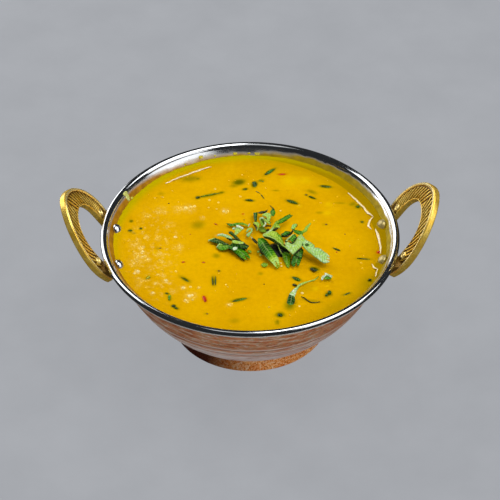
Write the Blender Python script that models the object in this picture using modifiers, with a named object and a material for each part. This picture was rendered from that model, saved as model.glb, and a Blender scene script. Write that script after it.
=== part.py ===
"""Dal tadka in its serving bowl: a steel liner in a copper jacket on a foot ring, with two cast
brass handles, four rivets, the dal up to its level, and the heap of chopped coriander on it.

Metres, +Z up. The origin is at the centre of the foot ring's underside, and the handles lie on X."""

import math

import bmesh
import bpy
from mathutils import Matrix, Vector

# Turned parts: every skin of the bowl is one ellipse, drawn in by an inset, below the flare.
TURN_STEPS = 48
WALL_ACROSS = 0.0728       # half the ellipse's width, for the jacket's outer skin
WALL_UP = 0.0825           # half the ellipse's height
WALL_CENTRE_Z = 0.0765
BASE_Z = 0.0050            # underside of the jacket's flat bottom
GAP = 0.0003               # left between pieces that touch
SHEET = 0.0009             # thickness of the liner, and of the jacket
JACKET_INSIDE = SHEET
LINER_OUTSIDE = SHEET + GAP
LINER_INSIDE = 2 * SHEET + GAP

# The lip: the wall flares from FLARE_Z up and ends in a rolled edge.
FLARE_Z = 0.0500
FLARE_BEND = 0.0030        # height over which the slope grows
FLARE_SLOPE = 0.60         # outward travel for each unit of height above the bend
ROLL_RADIUS = 0.0021
RIM_RADIUS = 0.0750        # outer edge of the roll
ROLL_CENTRE_Z = 0.0567
ROLL_CENTRE_R = RIM_RADIUS - ROLL_RADIUS
JACKET_TOP_Z = 0.0532
LINER_OUTER_TOP_Z = 0.0540
LIP_START = 0.0003         # the liner's inner skin runs this far above the roll's centre
# Arcs round the roll: from and to in degrees, and the number of points.
LIP_ARC = (150, -130, 9)
CLEARANCE_ARC = (-120, 90, 8)

# Rings of points up each wall.
LINER_INNER_RINGS = 10
LINER_OUTER_RINGS = 7
CLEARANCE_RINGS = 9
DAL_RINGS = 9
SLOPE_STEP = 0.0002        # height over which the wall's slope is measured
SHARP_EDGE = math.radians(35)

# Two grooves turned into the jacket.
GROOVES_Z = (0.0340, 0.0288)
GROOVE_DEPTH = 0.0004
GROOVE_HALF_WIDTH = 0.0011

# Foot ring.
FOOT_RADIUS = 0.0404
FOOT_WALL = 0.0022
FOOT_TAPER = 0.0010
FOOT_CHAMFER = 0.0003
FOOT_SWELL_Z = 0.0030      # the foot widens down to this height

# Handles: a flat arch that leans outwards, on two feet under the rolled edge.
LEAN = math.radians(58)
HANDLE_X = 0.0760          # the face's middle line crosses this place at HANDLE_Z
HANDLE_Z = 0.0580
HANDLE_THICKNESS = 0.0032
HANDLE_EDGE_ROUND = 0.0005
ARCH_HALF_WIDTH = 0.0255
ARCH_RISE = 0.0288
ARCH_POWER = 1.75
HOLE_HALF_WIDTH = 0.0152
HOLE_RISE = 0.0167
HOLE_POWER = 2.2
ARCH_POINTS = 22
LEG_POINTS = 4
FOOT_BOTTOM_Z = 0.0478
LEG_TUCK = 0.0042          # how far each leg's outer edge curves in at its foot
LUG_TOP_Z = 0.0542
LUG_INNER_EDGE = 0.0155
LUG_INSIDE_X = 0.0600      # inside the bowl, where the clearance cuts it off
PAD_THICKNESS = 0.0030
PAD_LOW_Z = 0.0482
PAD_TOP_Z = 0.0530
PAD_FROM = math.radians(5.5)
PAD_TO = math.radians(17.5)

# Rivets: one through the wall and each handle foot.
RIVET_Z = 0.0525
RIVET_SIDE = 0.0137        # sideways from the middle of the pair
RIVET_MIDDLE_Y = -0.0040   # both pairs sit a little to the front of their handle's middle
RIVET_SHANK = 0.0011
RIVET_HEAD = 0.0029
RIVET_DOME = 0.0018
RIVET_INTO_FOOT = 0.0020   # the shank ends this far inside the handle's foot
RIVET_DEPTH = LINER_INSIDE + GAP + RIVET_INTO_FOOT
RIVET_HOLE_ABOVE = 0.0010
RIVET_HOLE_STEPS = 12
RIVET_STEPS = 14
DOME_RINGS = 4

# What is in the bowl.
DAL_LEVEL = 0.0530
HEAP_CENTRE = (0.0060, -0.0030)
HEAP_HEIGHT = 0.0070
HEAP_SUNK = 0.0006
HEAP_EDGE = 0.0012         # height of the heap's thin tips above the dal
HEAP_RADIUS = 0.0152
HEAP_CROWN_REACH = 1.2     # the crown ends at this many heap radii
HEAP_CROWN_POWER = 1.5
HEAP_TOP_STEEPNESS = 2.2
HEAP_BASE_STEEPNESS = 3.0
HEAP_SPOKES = 44
HEAP_RINGS = 8
# Leaf tips that stick out of the heap: direction in degrees, reach and half width in metres.
HEAP_TIPS = (
    (182, 0.0270, 0.0065),
    (250, 0.0180, 0.0040),
    (289, 0.0250, 0.0040),
    (311, 0.0290, 0.0042),
    (331, 0.0385, 0.0050),
    (26, 0.0270, 0.0040),
    (50, 0.0250, 0.0036),
    (77, 0.0270, 0.0036),
    (98, 0.0215, 0.0034),
    (145, 0.0200, 0.0045),
)

STEEL = ((0.62, 0.62, 0.61), 0.22, 1.0)
COPPER = ((0.55, 0.29, 0.20), 0.38, 1.0)
FOOT_COPPER = ((0.60, 0.27, 0.12), 0.34, 1.0)
BRASS = ((0.72, 0.47, 0.10), 0.30, 1.0)
DAL = ((0.80, 0.48, 0.01), 0.35, 0.0)
LEAF = ((0.09, 0.28, 0.04), 0.50, 0.0)


def clear_scene():
    for obj in list(bpy.data.objects):
        bpy.data.objects.remove(obj, do_unlink=True)


def new_collection(name):
    collection = bpy.data.collections.new(name)
    bpy.context.scene.collection.children.link(collection)
    return collection


def new_material(name, finish):
    colour, roughness, metallic = finish
    material = bpy.data.materials.new(name)
    material.use_nodes = True
    shader = material.node_tree.nodes["Principled BSDF"]
    shader.inputs["Base Color"].default_value = (*colour, 1.0)
    shader.inputs["Roughness"].default_value = roughness
    shader.inputs["Metallic"].default_value = metallic
    return material


def add_object(name, data, collection):
    obj = bpy.data.objects.new(name, data)
    collection.objects.link(obj)
    return obj


def as_cutter(obj):
    obj.hide_render = True
    obj.display_type = "WIRE"
    return obj


def finish_part(obj, material):
    obj.data.materials.clear()
    obj.data.materials.append(material)
    obj.data.shade_smooth()
    obj.data.set_sharp_from_angle(angle=SHARP_EDGE)


def evaluated_mesh(obj):
    graph = bpy.context.evaluated_depsgraph_get()
    return bpy.data.meshes.new_from_object(obj.evaluated_get(graph))


def cut(obj, cutter, operation="DIFFERENCE"):
    boolean = obj.modifiers.new(f"{operation.title()} {cutter.name}", "BOOLEAN")
    boolean.operation = operation
    boolean.object = cutter
    boolean.solver = "EXACT"


def turned(name, profile, collection, steps=TURN_STEPS, closed=False):
    """A profile of (radius, height) points turned about Z. It runs down its outer side."""
    mesh = bpy.data.meshes.new(name)
    last = len(profile) - 1
    edges = [(i, i + 1) for i in range(last)] + ([(last, 0)] if closed else [])
    mesh.from_pydata([(r, 0.0, z) for r, z in profile], edges, [])
    obj = add_object(name, mesh, collection)
    screw = obj.modifiers.new("Turn", "SCREW")
    screw.steps = steps
    screw.render_steps = steps
    screw.use_merge_vertices = True
    screw.merge_threshold = 0.00001
    screw.use_smooth_shade = True
    return obj


# The bowl's skins.

def skin_radius(z, inset):
    """Radius at height z of the skin that lies inset inside the jacket's outer one."""
    low = min(z, FLARE_Z)
    across = WALL_ACROSS - inset
    up = WALL_UP - inset
    radius = across * math.sqrt(1 - ((WALL_CENTRE_Z - low) / up) ** 2)
    if z <= FLARE_Z:
        return radius
    start = across / up * (WALL_CENTRE_Z - low) / up / math.sqrt(1 - ((WALL_CENTRE_Z - low) / up) ** 2)
    bent = min(z - FLARE_Z, FLARE_BEND)
    growth = (FLARE_SLOPE - start) / FLARE_BEND
    return radius + start * (z - FLARE_Z) + growth * bent * bent / 2 + growth * bent * (z - FLARE_Z - bent)


def skin(inset, low_z, top_z, rings, marks=()):
    """Points (radius, height) up one skin, evenly spaced in height apart from the marks added."""
    heights = [low_z + (top_z - low_z) * i / rings for i in range(rings + 1)]
    heights = sorted(set(heights) | set(marks))
    return [(skin_radius(z, inset), z) for z in heights]


def jacket_profile():
    outer = []
    for r, z in skin(0.0, BASE_Z, JACKET_TOP_Z, 7, groove_marks()):
        sunk = any(abs(z - groove) < 1e-6 for groove in GROOVES_Z)
        outer.append((r - GROOVE_DEPTH if sunk else r, z))
    inner = skin(JACKET_INSIDE, BASE_Z + JACKET_INSIDE, JACKET_TOP_Z, 7)
    return [(0.0, inner[0][1])] + inner + outer[::-1] + [(0.0, BASE_Z)]


def groove_marks():
    marks = []
    for z in GROOVES_Z:
        marks += [z - GROOVE_HALF_WIDTH, z, z + GROOVE_HALF_WIDTH]
    return marks


def roll_arc(start, end, points, grow=0.0):
    """Points round the rolled edge, from angle start down to angle end, in degrees."""
    arc = []
    for i in range(points):
        angle = math.radians(start + (end - start) * i / (points - 1))
        radius = ROLL_RADIUS + grow
        arc.append((ROLL_CENTRE_R + radius * math.cos(angle), ROLL_CENTRE_Z + radius * math.sin(angle)))
    return arc


def liner_profile():
    inner = skin(LINER_INSIDE, BASE_Z + LINER_INSIDE, ROLL_CENTRE_Z + LIP_START, LINER_INNER_RINGS)
    outer = skin(LINER_OUTSIDE, BASE_Z + LINER_OUTSIDE, LINER_OUTER_TOP_Z, LINER_OUTER_RINGS)
    lip = roll_arc(*LIP_ARC)
    return [(0.0, inner[0][1])] + inner + lip + outer[::-1] + [(0.0, outer[0][1])]


def foot_profile():
    top_outer = FOOT_RADIUS - FOOT_TAPER
    top_inner = FOOT_RADIUS - FOOT_WALL
    return [
        (top_inner, jacket_underside(top_inner) - GAP),
        (top_outer, jacket_underside(top_outer) - GAP),
        (FOOT_RADIUS - FOOT_TAPER / 2, FOOT_SWELL_Z),
        (FOOT_RADIUS, FOOT_CHAMFER),
        (FOOT_RADIUS - FOOT_CHAMFER, 0.0),
        (top_inner, 0.0),
    ]


def jacket_underside(radius):
    """Height at which the jacket's outer skin has this radius."""
    return WALL_CENTRE_Z - WALL_UP * math.sqrt(1 - (radius / WALL_ACROSS) ** 2)


def clearance_profile():
    """The space that the jacket and the rolled edge take, with a gap round them."""
    wall = skin(-GAP, BASE_Z, JACKET_TOP_Z + GAP, CLEARANCE_RINGS)
    roll = roll_arc(*CLEARANCE_ARC, grow=GAP)
    outside = wall + roll
    return [(0.0, outside[-1][1])] + outside[::-1] + [(0.0, BASE_Z)]


def dal_profile():
    inset = LINER_INSIDE + GAP
    wall = skin(inset, BASE_Z + inset, DAL_LEVEL, DAL_RINGS)
    return [(0.0, DAL_LEVEL)] + wall[::-1] + [(0.0, BASE_Z + inset)]


# Rivets.

def rivet_place(side, sign):
    """World matrix of a rivet: its origin on the liner's inside, and +Z out of the wall."""
    radius = skin_radius(RIVET_Z, LINER_INSIDE)
    slope = (skin_radius(RIVET_Z + SLOPE_STEP, LINER_INSIDE) - radius) / SLOPE_STEP
    sideways = math.asin((RIVET_MIDDLE_Y + RIVET_SIDE * sign) / radius)
    turn = sideways if side > 0 else math.pi - sideways
    lean = -math.pi / 2 + math.atan(slope)
    return Matrix.Rotation(turn, 4, "Z") @ Matrix.Translation((radius, 0, RIVET_Z)) @ Matrix.Rotation(lean, 4, "Y")


def rivet_profile(grow=0.0):
    """A domed head inside the bowl, and a shank that ends in the handle's foot."""
    head = RIVET_HEAD + grow
    shank = RIVET_SHANK + grow
    seat = GAP - grow
    dome = []
    for i in range(DOME_RINGS + 1):
        angle = math.pi / 2 * i / DOME_RINGS
        dome.append((head * math.sin(angle), seat + (RIVET_DOME + 2 * grow) * math.cos(angle)))
    return dome + [(shank, seat), (shank, -RIVET_DEPTH), (0.0, -RIVET_DEPTH)]


def rivet_hole(name, collection):
    """A straight hole through liner and jacket, ending in the handle's foot."""
    room = RIVET_SHANK + GAP
    above = RIVET_HOLE_ABOVE
    below = -(RIVET_DEPTH + GAP)
    outline = [(0.0, above), (room, above), (room, below), (0.0, below)]
    return as_cutter(turned(name, outline, collection, steps=RIVET_HOLE_STEPS))


# Handles. Their plane is drawn flat, with X across and Y up the face, and then leaned.

def arch(half_width, rise, power, points):
    """Points over an arch from its right foot to its left, closer to a point than an ellipse."""
    arc = []
    for i in range(points + 1):
        angle = math.pi * i / points
        c, s = math.cos(angle), math.sin(angle)
        across = math.copysign(abs(c) ** (2 / power), c)
        arc.append((half_width * across, rise * s ** (2 / power)))
    return arc


def down_the_face(z):
    """Distance up the leaning face of a point at height z."""
    return (z - HANDLE_Z) / math.sin(LEAN)


def leg_edge(z):
    """Half width of the handle at height z, below the arch: the legs tuck in towards their feet."""
    part = (HANDLE_Z - z) / (HANDLE_Z - FOOT_BOTTOM_Z)
    return ARCH_HALF_WIDTH - LEG_TUCK * part * part


def handle_outline():
    foot = down_the_face(FOOT_BOTTOM_Z)
    outer = arch(ARCH_HALF_WIDTH, ARCH_RISE, ARCH_POWER, ARCH_POINTS)
    inner = arch(HOLE_HALF_WIDTH, HOLE_RISE, HOLE_POWER, ARCH_POINTS - 4)
    leg = []
    for i in range(LEG_POINTS):
        z = FOOT_BOTTOM_Z + (HANDLE_Z - FOOT_BOTTOM_Z) * i / LEG_POINTS
        leg.append((leg_edge(z), down_the_face(z)))
    outer = leg + outer + [(-x, y) for x, y in leg[::-1]]
    inner = [(HOLE_HALF_WIDTH, foot)] + inner + [(-HOLE_HALF_WIDTH, foot)]
    return outer + inner[::-1]


def handle_frame():
    """Matrix from the flat drawing to the right-hand handle: Z is the face's normal."""
    normal = Vector((-math.sin(LEAN), 0, math.cos(LEAN)))
    up = Vector((math.cos(LEAN), 0, math.sin(LEAN)))
    across = up.cross(normal)
    place = Vector((HANDLE_X, 0, HANDLE_Z)) - normal * HANDLE_THICKNESS / 2
    frame = Matrix((across, up, normal)).transposed().to_4x4()
    frame.translation = place
    return frame


def handle_plate(collection):
    """The arch as a filled curve with rounded edges, made a closed mesh."""
    curve = bpy.data.curves.new("handle_plate", "CURVE")
    curve.dimensions = "2D"
    curve.fill_mode = "BOTH"
    curve.extrude = HANDLE_THICKNESS / 2 - HANDLE_EDGE_ROUND
    curve.bevel_depth = HANDLE_EDGE_ROUND
    curve.bevel_resolution = 0
    curve.offset = -HANDLE_EDGE_ROUND
    outline = handle_outline()
    spline = curve.splines.new("POLY")
    spline.points.add(len(outline) - 1)
    for point, (x, y) in zip(spline.points, outline):
        point.co = (x, y, 0.0, 1.0)
    spline.use_cyclic_u = True
    drawn = add_object("handle_plate_curve", curve, collection)
    drawn.matrix_world = handle_frame()
    bpy.context.view_layer.update()
    mesh = evaluated_mesh(drawn)
    mesh.transform(drawn.matrix_world)
    weld(mesh)
    bpy.data.objects.remove(drawn)
    return add_object("handle_plate", mesh, collection)


def weld(mesh):
    shape = bmesh.new()
    shape.from_mesh(mesh)
    bmesh.ops.remove_doubles(shape, verts=shape.verts, dist=0.00001)
    bmesh.ops.recalc_face_normals(shape, faces=shape.faces)
    shape.to_mesh(mesh)
    shape.free()


def handle_lug(sign, collection):
    """The thick foot of one leg: a box whose outer side leans as the face does."""
    lean_out = HANDLE_THICKNESS / math.sin(LEAN)
    shape = bmesh.new()
    bmesh.ops.create_cube(shape, size=1.0)
    for vert in shape.verts:
        z = LUG_TOP_Z if vert.co.z > 0 else FOOT_BOTTOM_Z + GAP
        face_x = HANDLE_X + (z - HANDLE_Z) / math.tan(LEAN) + lean_out / 2
        edge = leg_edge(z) - HANDLE_EDGE_ROUND - GAP
        vert.co.x = face_x if vert.co.x > 0 else LUG_INSIDE_X
        vert.co.y = sign * (edge if vert.co.y > 0 else LUG_INNER_EDGE)
        vert.co.z = z
    bmesh.ops.recalc_face_normals(shape, faces=shape.faces)
    mesh = bpy.data.meshes.new("handle_lug")
    shape.to_mesh(mesh)
    shape.free()
    return add_object(f"handle_lug_{'back' if sign > 0 else 'front'}", mesh, collection)


def handle_pad(sign, collection):
    """The plate that lies on the jacket and takes the rivet: a turned patch with a thickness."""
    inset = -GAP - PAD_THICKNESS / 2
    wall = skin(inset, PAD_LOW_Z, PAD_TOP_Z, 2)
    name = f"handle_pad_{'back' if sign > 0 else 'front'}"
    mesh = bpy.data.meshes.new(name)
    mesh.from_pydata([(r, 0.0, z) for r, z in wall], [(0, 1), (1, 2)], [])
    obj = add_object(name, mesh, collection)
    start = PAD_FROM if sign > 0 else -PAD_TO
    obj.rotation_euler = (0, 0, start)
    screw = obj.modifiers.new("Turn", "SCREW")
    screw.angle = PAD_TO - PAD_FROM
    screw.steps = 3
    screw.render_steps = 3
    wall_thickness = obj.modifiers.new("Thickness", "SOLIDIFY")
    wall_thickness.thickness = PAD_THICKNESS
    wall_thickness.offset = 0.0
    bpy.context.view_layer.update()
    mesh = evaluated_mesh(obj)
    mesh.transform(obj.matrix_world)
    weld(mesh)
    bpy.data.objects.remove(obj)
    return add_object(name, mesh, collection)


# The heap of chopped coriander.

def heap_radius(angle, grow):
    radius = HEAP_RADIUS
    for degrees, reach, half_width in HEAP_TIPS:
        away = math.remainder(angle - math.radians(degrees), 2 * math.pi)
        spread = half_width / reach
        radius = max(radius, HEAP_RADIUS + (reach - HEAP_RADIUS) * math.exp(-((away / spread) ** 4)))
    return radius + grow


def heap_mesh(name, grow=0.0):
    """A round form drawn out to the leaf tips, domed above and flat where it lies in the dal."""
    shape = bmesh.new()
    bmesh.ops.create_uvsphere(shape, u_segments=HEAP_SPOKES, v_segments=HEAP_RINGS, radius=1.0)
    for vert in shape.verts:
        flat = math.hypot(vert.co.x, vert.co.y)
        angle = math.atan2(vert.co.y, vert.co.x)
        reach = heap_radius(angle, grow)
        out = flat * reach
        tip = min(1.0, out / (HEAP_RADIUS * HEAP_CROWN_REACH))
        crown = HEAP_EDGE + (HEAP_HEIGHT - HEAP_EDGE) * (1 - tip * tip) ** HEAP_CROWN_POWER
        if vert.co.z >= 0:
            height = crown * min(1.0, vert.co.z * HEAP_TOP_STEEPNESS)
        else:
            height = -(HEAP_SUNK + grow) * min(1.0, -vert.co.z * HEAP_BASE_STEEPNESS)
        vert.co = (
            HEAP_CENTRE[0] + out * math.cos(angle),
            HEAP_CENTRE[1] + out * math.sin(angle),
            DAL_LEVEL + height,
        )
    mesh = bpy.data.meshes.new(name)
    shape.to_mesh(mesh)
    shape.free()
    return mesh


def build():
    clear_scene()
    parts = new_collection("dal_tadka")
    cutters = new_collection("cutters")

    steel = new_material("steel", STEEL)
    copper = new_material("jacket_copper", COPPER)
    foot_copper = new_material("foot_copper", FOOT_COPPER)
    brass = new_material("brass", BRASS)
    dal_food = new_material("dal", DAL)
    leaf = new_material("coriander", LEAF)

    liner = turned("steel_bowl", liner_profile(), parts)
    jacket = turned("copper_jacket", jacket_profile(), parts)
    foot = turned("foot_ring", foot_profile(), parts, closed=True)
    dal = turned("dal", dal_profile(), parts)
    clearance = as_cutter(turned("bowl_clearance", clearance_profile(), cutters))

    handle = handle_plate(cutters)
    for sign in (1, -1):
        cut(handle, as_cutter(handle_lug(sign, cutters)), "UNION")
        cut(handle, as_cutter(handle_pad(sign, cutters)), "UNION")
    cut(handle, clearance)

    for side in (1, -1):
        for sign in (1, -1):
            place = rivet_place(side, sign)
            name = f"rivet_{'right' if side > 0 else 'left'}_{'front' if sign < 0 else 'back'}"
            rivet = turned(name, rivet_profile(), parts, steps=RIVET_STEPS)
            rivet.matrix_world = place
            finish_part(rivet, steel)
            hole = rivet_hole(name + "_hole", cutters)
            hole.matrix_world = place
            for wall in (liner, jacket):
                cut(wall, hole)
            if side > 0:
                cut(handle, hole)
            head_room = as_cutter(turned(name + "_room", rivet_profile(GAP), cutters, steps=RIVET_STEPS))
            head_room.matrix_world = place
            cut(dal, head_room)

    bpy.context.view_layer.update()
    right = evaluated_mesh(handle)
    bpy.data.objects.remove(handle)
    left = right.copy()
    left.transform(Matrix.Scale(-1, 4, (1, 0, 0)))
    left.flip_normals()
    for name, mesh in (("handle_right", right), ("handle_left", left)):
        finish_part(add_object(name, mesh, parts), brass)

    heap = add_object("coriander_heap", heap_mesh("coriander_heap"), parts)
    pocket = as_cutter(add_object("heap_pocket", heap_mesh("heap_pocket", GAP), cutters))
    cut(dal, pocket)

    for obj, material in ((liner, steel), (jacket, copper), (foot, foot_copper), (dal, dal_food), (heap, leaf)):
        finish_part(obj, material)


build()
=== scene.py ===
# %% [markdown]
# # Dal tadka in its serving bowl
# This lesson dresses one dish of food in Blender: yellow lentil dal in a steel bowl with a copper jacket,
# two cast brass handles, and chopped coriander on top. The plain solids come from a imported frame, which
# fixes every size. Each cell below makes one piece or one finish at that size, in metres, with +Z up.

# %% Load the frame
import math

import bmesh
import bpy
import numpy as np
from mathutils import Matrix, Vector, noise


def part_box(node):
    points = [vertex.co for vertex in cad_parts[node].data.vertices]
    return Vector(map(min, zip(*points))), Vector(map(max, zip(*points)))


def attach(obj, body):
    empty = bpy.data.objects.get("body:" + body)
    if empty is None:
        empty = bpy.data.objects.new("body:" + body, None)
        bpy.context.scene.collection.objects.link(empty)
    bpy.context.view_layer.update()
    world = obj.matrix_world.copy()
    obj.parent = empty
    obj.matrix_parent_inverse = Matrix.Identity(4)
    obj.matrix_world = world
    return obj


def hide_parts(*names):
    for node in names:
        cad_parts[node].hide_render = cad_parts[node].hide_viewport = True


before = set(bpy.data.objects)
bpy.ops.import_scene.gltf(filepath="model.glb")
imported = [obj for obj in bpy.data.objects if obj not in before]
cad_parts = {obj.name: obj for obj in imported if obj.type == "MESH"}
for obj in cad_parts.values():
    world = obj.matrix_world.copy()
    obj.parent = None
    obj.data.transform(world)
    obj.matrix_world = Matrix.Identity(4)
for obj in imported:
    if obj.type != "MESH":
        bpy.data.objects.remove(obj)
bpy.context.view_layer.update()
MM = 0.001

# %% [markdown]
# ## Small helpers
# A mesh here is often a grid of points, so one helper turns rows of points into faces. Another keeps what
# a modifier makes as a plain mesh, because only plain meshes travel well to other programs.

# %% Mesh helpers
def add_piece(name, mesh):
    obj = bpy.data.objects.new(name, mesh)
    bpy.context.scene.collection.objects.link(obj)
    return obj


def grid_faces(rows, columns, wrap=False, first=0):
    """Quads over a grid whose points are stored row after row."""
    faces = []
    for i in range(rows - 1):
        for j in range(columns if wrap else columns - 1):
            k = (j + 1) % columns
            faces.append((first + i * columns + j, first + i * columns + k,
                          first + (i + 1) * columns + k, first + (i + 1) * columns + j))
    return faces


def domed_faces(rings, spokes, first=0):
    """Faces of a closed body whose points are its top, its rings going down, and its bottom."""
    last = first + 1 + (rings - 1) * spokes
    beside = [(j, (j + 1) % spokes) for j in range(spokes)]
    return ([(first, first + 1 + j, first + 1 + k) for j, k in beside]
            + [face[::-1] for face in grid_faces(rings, spokes, wrap=True, first=first + 1)]
            + [(last + spokes, last + k, last + j) for j, k in beside])


def capped_tube(levels, around, first=0):
    """Faces of a closed tube of rings, with a flat cap at each end."""
    last = first + (levels - 1) * around
    return (grid_faces(levels, around, wrap=True, first=first)
            + [tuple(range(first, first + around))[::-1], tuple(range(last, last + around))])


def mesh_from(name, points, faces):
    mesh = bpy.data.meshes.new(name)
    mesh.from_pydata([tuple(map(float, point)) for point in points], [], faces)
    mesh.validate()
    mesh.shade_smooth()
    return mesh


def add_attribute(mesh, name, values):
    """One number for each vertex, which a material can read by name."""
    layer = mesh.attributes.new(name, "FLOAT", "POINT")
    layer.data.foreach_set("value", np.asarray(values, np.float32))


def tidy_normals(mesh):
    """Turns every face of closed shells outwards."""
    work = bmesh.new()
    work.from_mesh(mesh)
    bmesh.ops.recalc_face_normals(work, faces=work.faces)
    work.to_mesh(mesh)
    work.free()


def freeze(obj):
    """Keeps what the modifiers make as the object's own mesh, and drops the modifiers."""
    graph = bpy.context.evaluated_depsgraph_get()
    mesh = bpy.data.meshes.new_from_object(obj.evaluated_get(graph))
    obj.modifiers.clear()
    obj.data = mesh
    return obj


def finish_piece(obj, slot, *nodes):
    """Ties a piece to the frame: its body, and the plain solid that it stands for, if any. Its finish, the
    slot, is not used.
    """
    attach(obj, "root")
    if nodes:
        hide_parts(*nodes)
    triangles = sum(len(polygon.vertices) - 2 for polygon in obj.data.polygons)
    print(obj.name, "has", triangles, "triangles")


def dress(mesh, material, slot, *nodes):
    """Makes a finished piece of a mesh, under the mesh's own name."""
    mesh.materials.append(material)
    finish_piece(add_piece(mesh.name, mesh), slot, *nodes)


def clamp(value):
    """The value, held between 0 and 1."""
    return max(0.0, min(1.0, value))

# %% [markdown]
# ## Finishes
# Every finish is one Principled shader whose colour, roughness and bump come from noise in object
# coordinates, so the pattern has a real scale in metres and stays on the piece in every view.

# %% Material helpers
def new_finish(name, roughness=0.5, metallic=0.0):
    print("finish", name)
    material = bpy.data.materials.new(name)
    material.use_nodes = True
    shader = material.node_tree.nodes["Principled BSDF"]
    shader.inputs["Roughness"].default_value = roughness
    shader.inputs["Metallic"].default_value = metallic
    return material, material.node_tree, shader


def add_node(tree, kind, inputs=None, **settings):
    made = tree.nodes.new(kind)
    for key, value in settings.items():
        setattr(made, key, value)
    for key, value in (inputs or {}).items():
        if isinstance(value, bpy.types.NodeSocket):
            tree.links.new(value, made.inputs[key])
        else:
            made.inputs[key].default_value = value
    return made


def object_place(tree, scale=(1, 1, 1)):
    """Object coordinates, stretched along each axis."""
    place = add_node(tree, "ShaderNodeTexCoord").outputs["Object"]
    return add_node(tree, "ShaderNodeMapping", {"Vector": place, "Scale": scale}).outputs[0]


def noise_of(tree, size, detail, stretch=(1, 1, 1), roughness=0.55):
    """Noise whose blotches are about size metres across, drawn out by stretch."""
    scale = tuple(1 / (size * part) for part in stretch)
    return add_node(tree, "ShaderNodeTexNoise", {
        "Vector": object_place(tree, scale), "Scale": 1.0, "Detail": detail, "Roughness": roughness,
    }).outputs[0]


def cells_of(tree, per_metre):
    """Round cells that lie side by side: the distance from the nearest cell's middle."""
    place = object_place(tree, (per_metre, per_metre, per_metre))
    return add_node(tree, "ShaderNodeTexVoronoi", {"Vector": place, "Scale": 1.0}).outputs["Distance"]


def attribute_of(tree, name):
    return add_node(tree, "ShaderNodeAttribute", attribute_name=name).outputs["Fac"]


def math_of(tree, kind, first, second=0.0, third=0.0, clamped=False):
    return add_node(tree, "ShaderNodeMath", {0: first, 1: second, 2: third},
                    operation=kind, use_clamp=clamped).outputs[0]


def times(tree, first, second, clamped=False):
    return math_of(tree, "MULTIPLY", first, second, clamped=clamped)


def mixed_from(tree, first, share, second, other_share):
    """Two patterns added up, each by its share."""
    return math_of(tree, "ADD", times(tree, first, share), times(tree, second, other_share))


def vector_of(tree, kind, *vectors, **named):
    made = add_node(tree, "ShaderNodeVectorMath", {**dict(enumerate(vectors)), **named}, operation=kind)
    return made.outputs["Value" if kind == "LENGTH" else "Vector"]


def axis_of(tree, vector, axis):
    return add_node(tree, "ShaderNodeSeparateXYZ", {0: vector}).outputs[axis]


def between(tree, value, low, high, to_low=0.0, to_high=1.0):
    """A value's place between low and high, as a number from to_low to to_high."""
    return add_node(tree, "ShaderNodeMapRange", {
        "Value": value, "From Min": low, "From Max": high, "To Min": to_low, "To Max": to_high,
    }).outputs[0]


def ramp(tree, factor, stops):
    """A smooth run of colours. Each stop is a place from 0 to 1 and a colour."""
    made = add_node(tree, "ShaderNodeValToRGB", {"Fac": factor})
    elements = made.color_ramp.elements
    for place, colour in stops[2:]:
        elements.new(place)
    for element, (place, colour) in zip(elements, stops):
        element.position = place
        element.color = (*colour, 1.0)
    return made.outputs["Color"]


def blend_colours(tree, factor, first, second, kind="MIX"):
    made = add_node(tree, "ShaderNodeMix", data_type="RGBA", blend_type=kind)
    for socket, value in ((made.inputs[0], factor), (made.inputs[6], first), (made.inputs[7], second)):
        if isinstance(value, bpy.types.NodeSocket):
            tree.links.new(value, socket)
        elif isinstance(value, tuple):
            socket.default_value = (*value, 1.0)
        else:
            socket.default_value = value
    return made.outputs[2]


def bump_of(tree, height, distance, strength):
    made = add_node(tree, "ShaderNodeBump", {"Height": height, "Distance": distance, "Strength": strength})
    return made.outputs[0]


def connect(tree, shader, **values):
    """Links values to the shader's inputs: base_color stands for the socket named Base Color."""
    for name, value in values.items():
        tree.links.new(value, shader.inputs[name.replace("_", " ").title()])


def swayed_tone(tree, pattern, amount):
    """The mesh's own tone, made lighter and darker by a pattern."""
    sway = math_of(tree, "SUBTRACT", pattern, 0.5)
    return math_of(tree, "MULTIPLY_ADD", sway, amount, attribute_of(tree, "tone"))


def srgb(red, green, blue):
    """A colour as painters' programs name it, 0 to 255, turned into the light that shaders use."""
    linear = []
    for part in (red, green, blue):
        part /= 255
        linear.append(part / 12.92 if part <= 0.04045 else ((part + 0.055) / 1.055) ** 2.4)
    return tuple(linear)

# %% [markdown]
# ## Camera, floor and light
# The dish is looked down on from about 41 degrees through a long lens, as food often is. Polished steel
# shows whatever is around it, so the lights are big soft boxes with dark room between them: that gives
# the rolled edge its white and black bands.

# %% Camera
CAMERA_ELEVATION = math.radians(41.23)
CAMERA_TURN = math.radians(-1.5)
CAMERA_DISTANCE = 1.0
CAMERA_LENS = 141.05
LOOK_AT_Z = 0.030
AIM_ABOVE = math.radians(0.705)

camera_data = bpy.data.cameras.new("camera")
camera_data.lens = CAMERA_LENS
camera_data.sensor_width = 36.0
camera_data.clip_start = 0.05
camera_data.clip_end = 20.0
camera = bpy.data.objects.new("camera", camera_data)
bpy.context.scene.collection.objects.link(camera)
back = Vector((0, -math.cos(CAMERA_ELEVATION), math.sin(CAMERA_ELEVATION)))
back = Matrix.Rotation(CAMERA_TURN, 3, "Z") @ back
camera.location = Vector((0, 0, LOOK_AT_Z)) + back * CAMERA_DISTANCE
camera.rotation_euler = (math.pi / 2 - CAMERA_ELEVATION + AIM_ABOVE, 0, CAMERA_TURN)
bpy.context.scene.camera = camera
print("the camera stands", round(camera.location.z, 3), "m above the floor")

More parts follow.
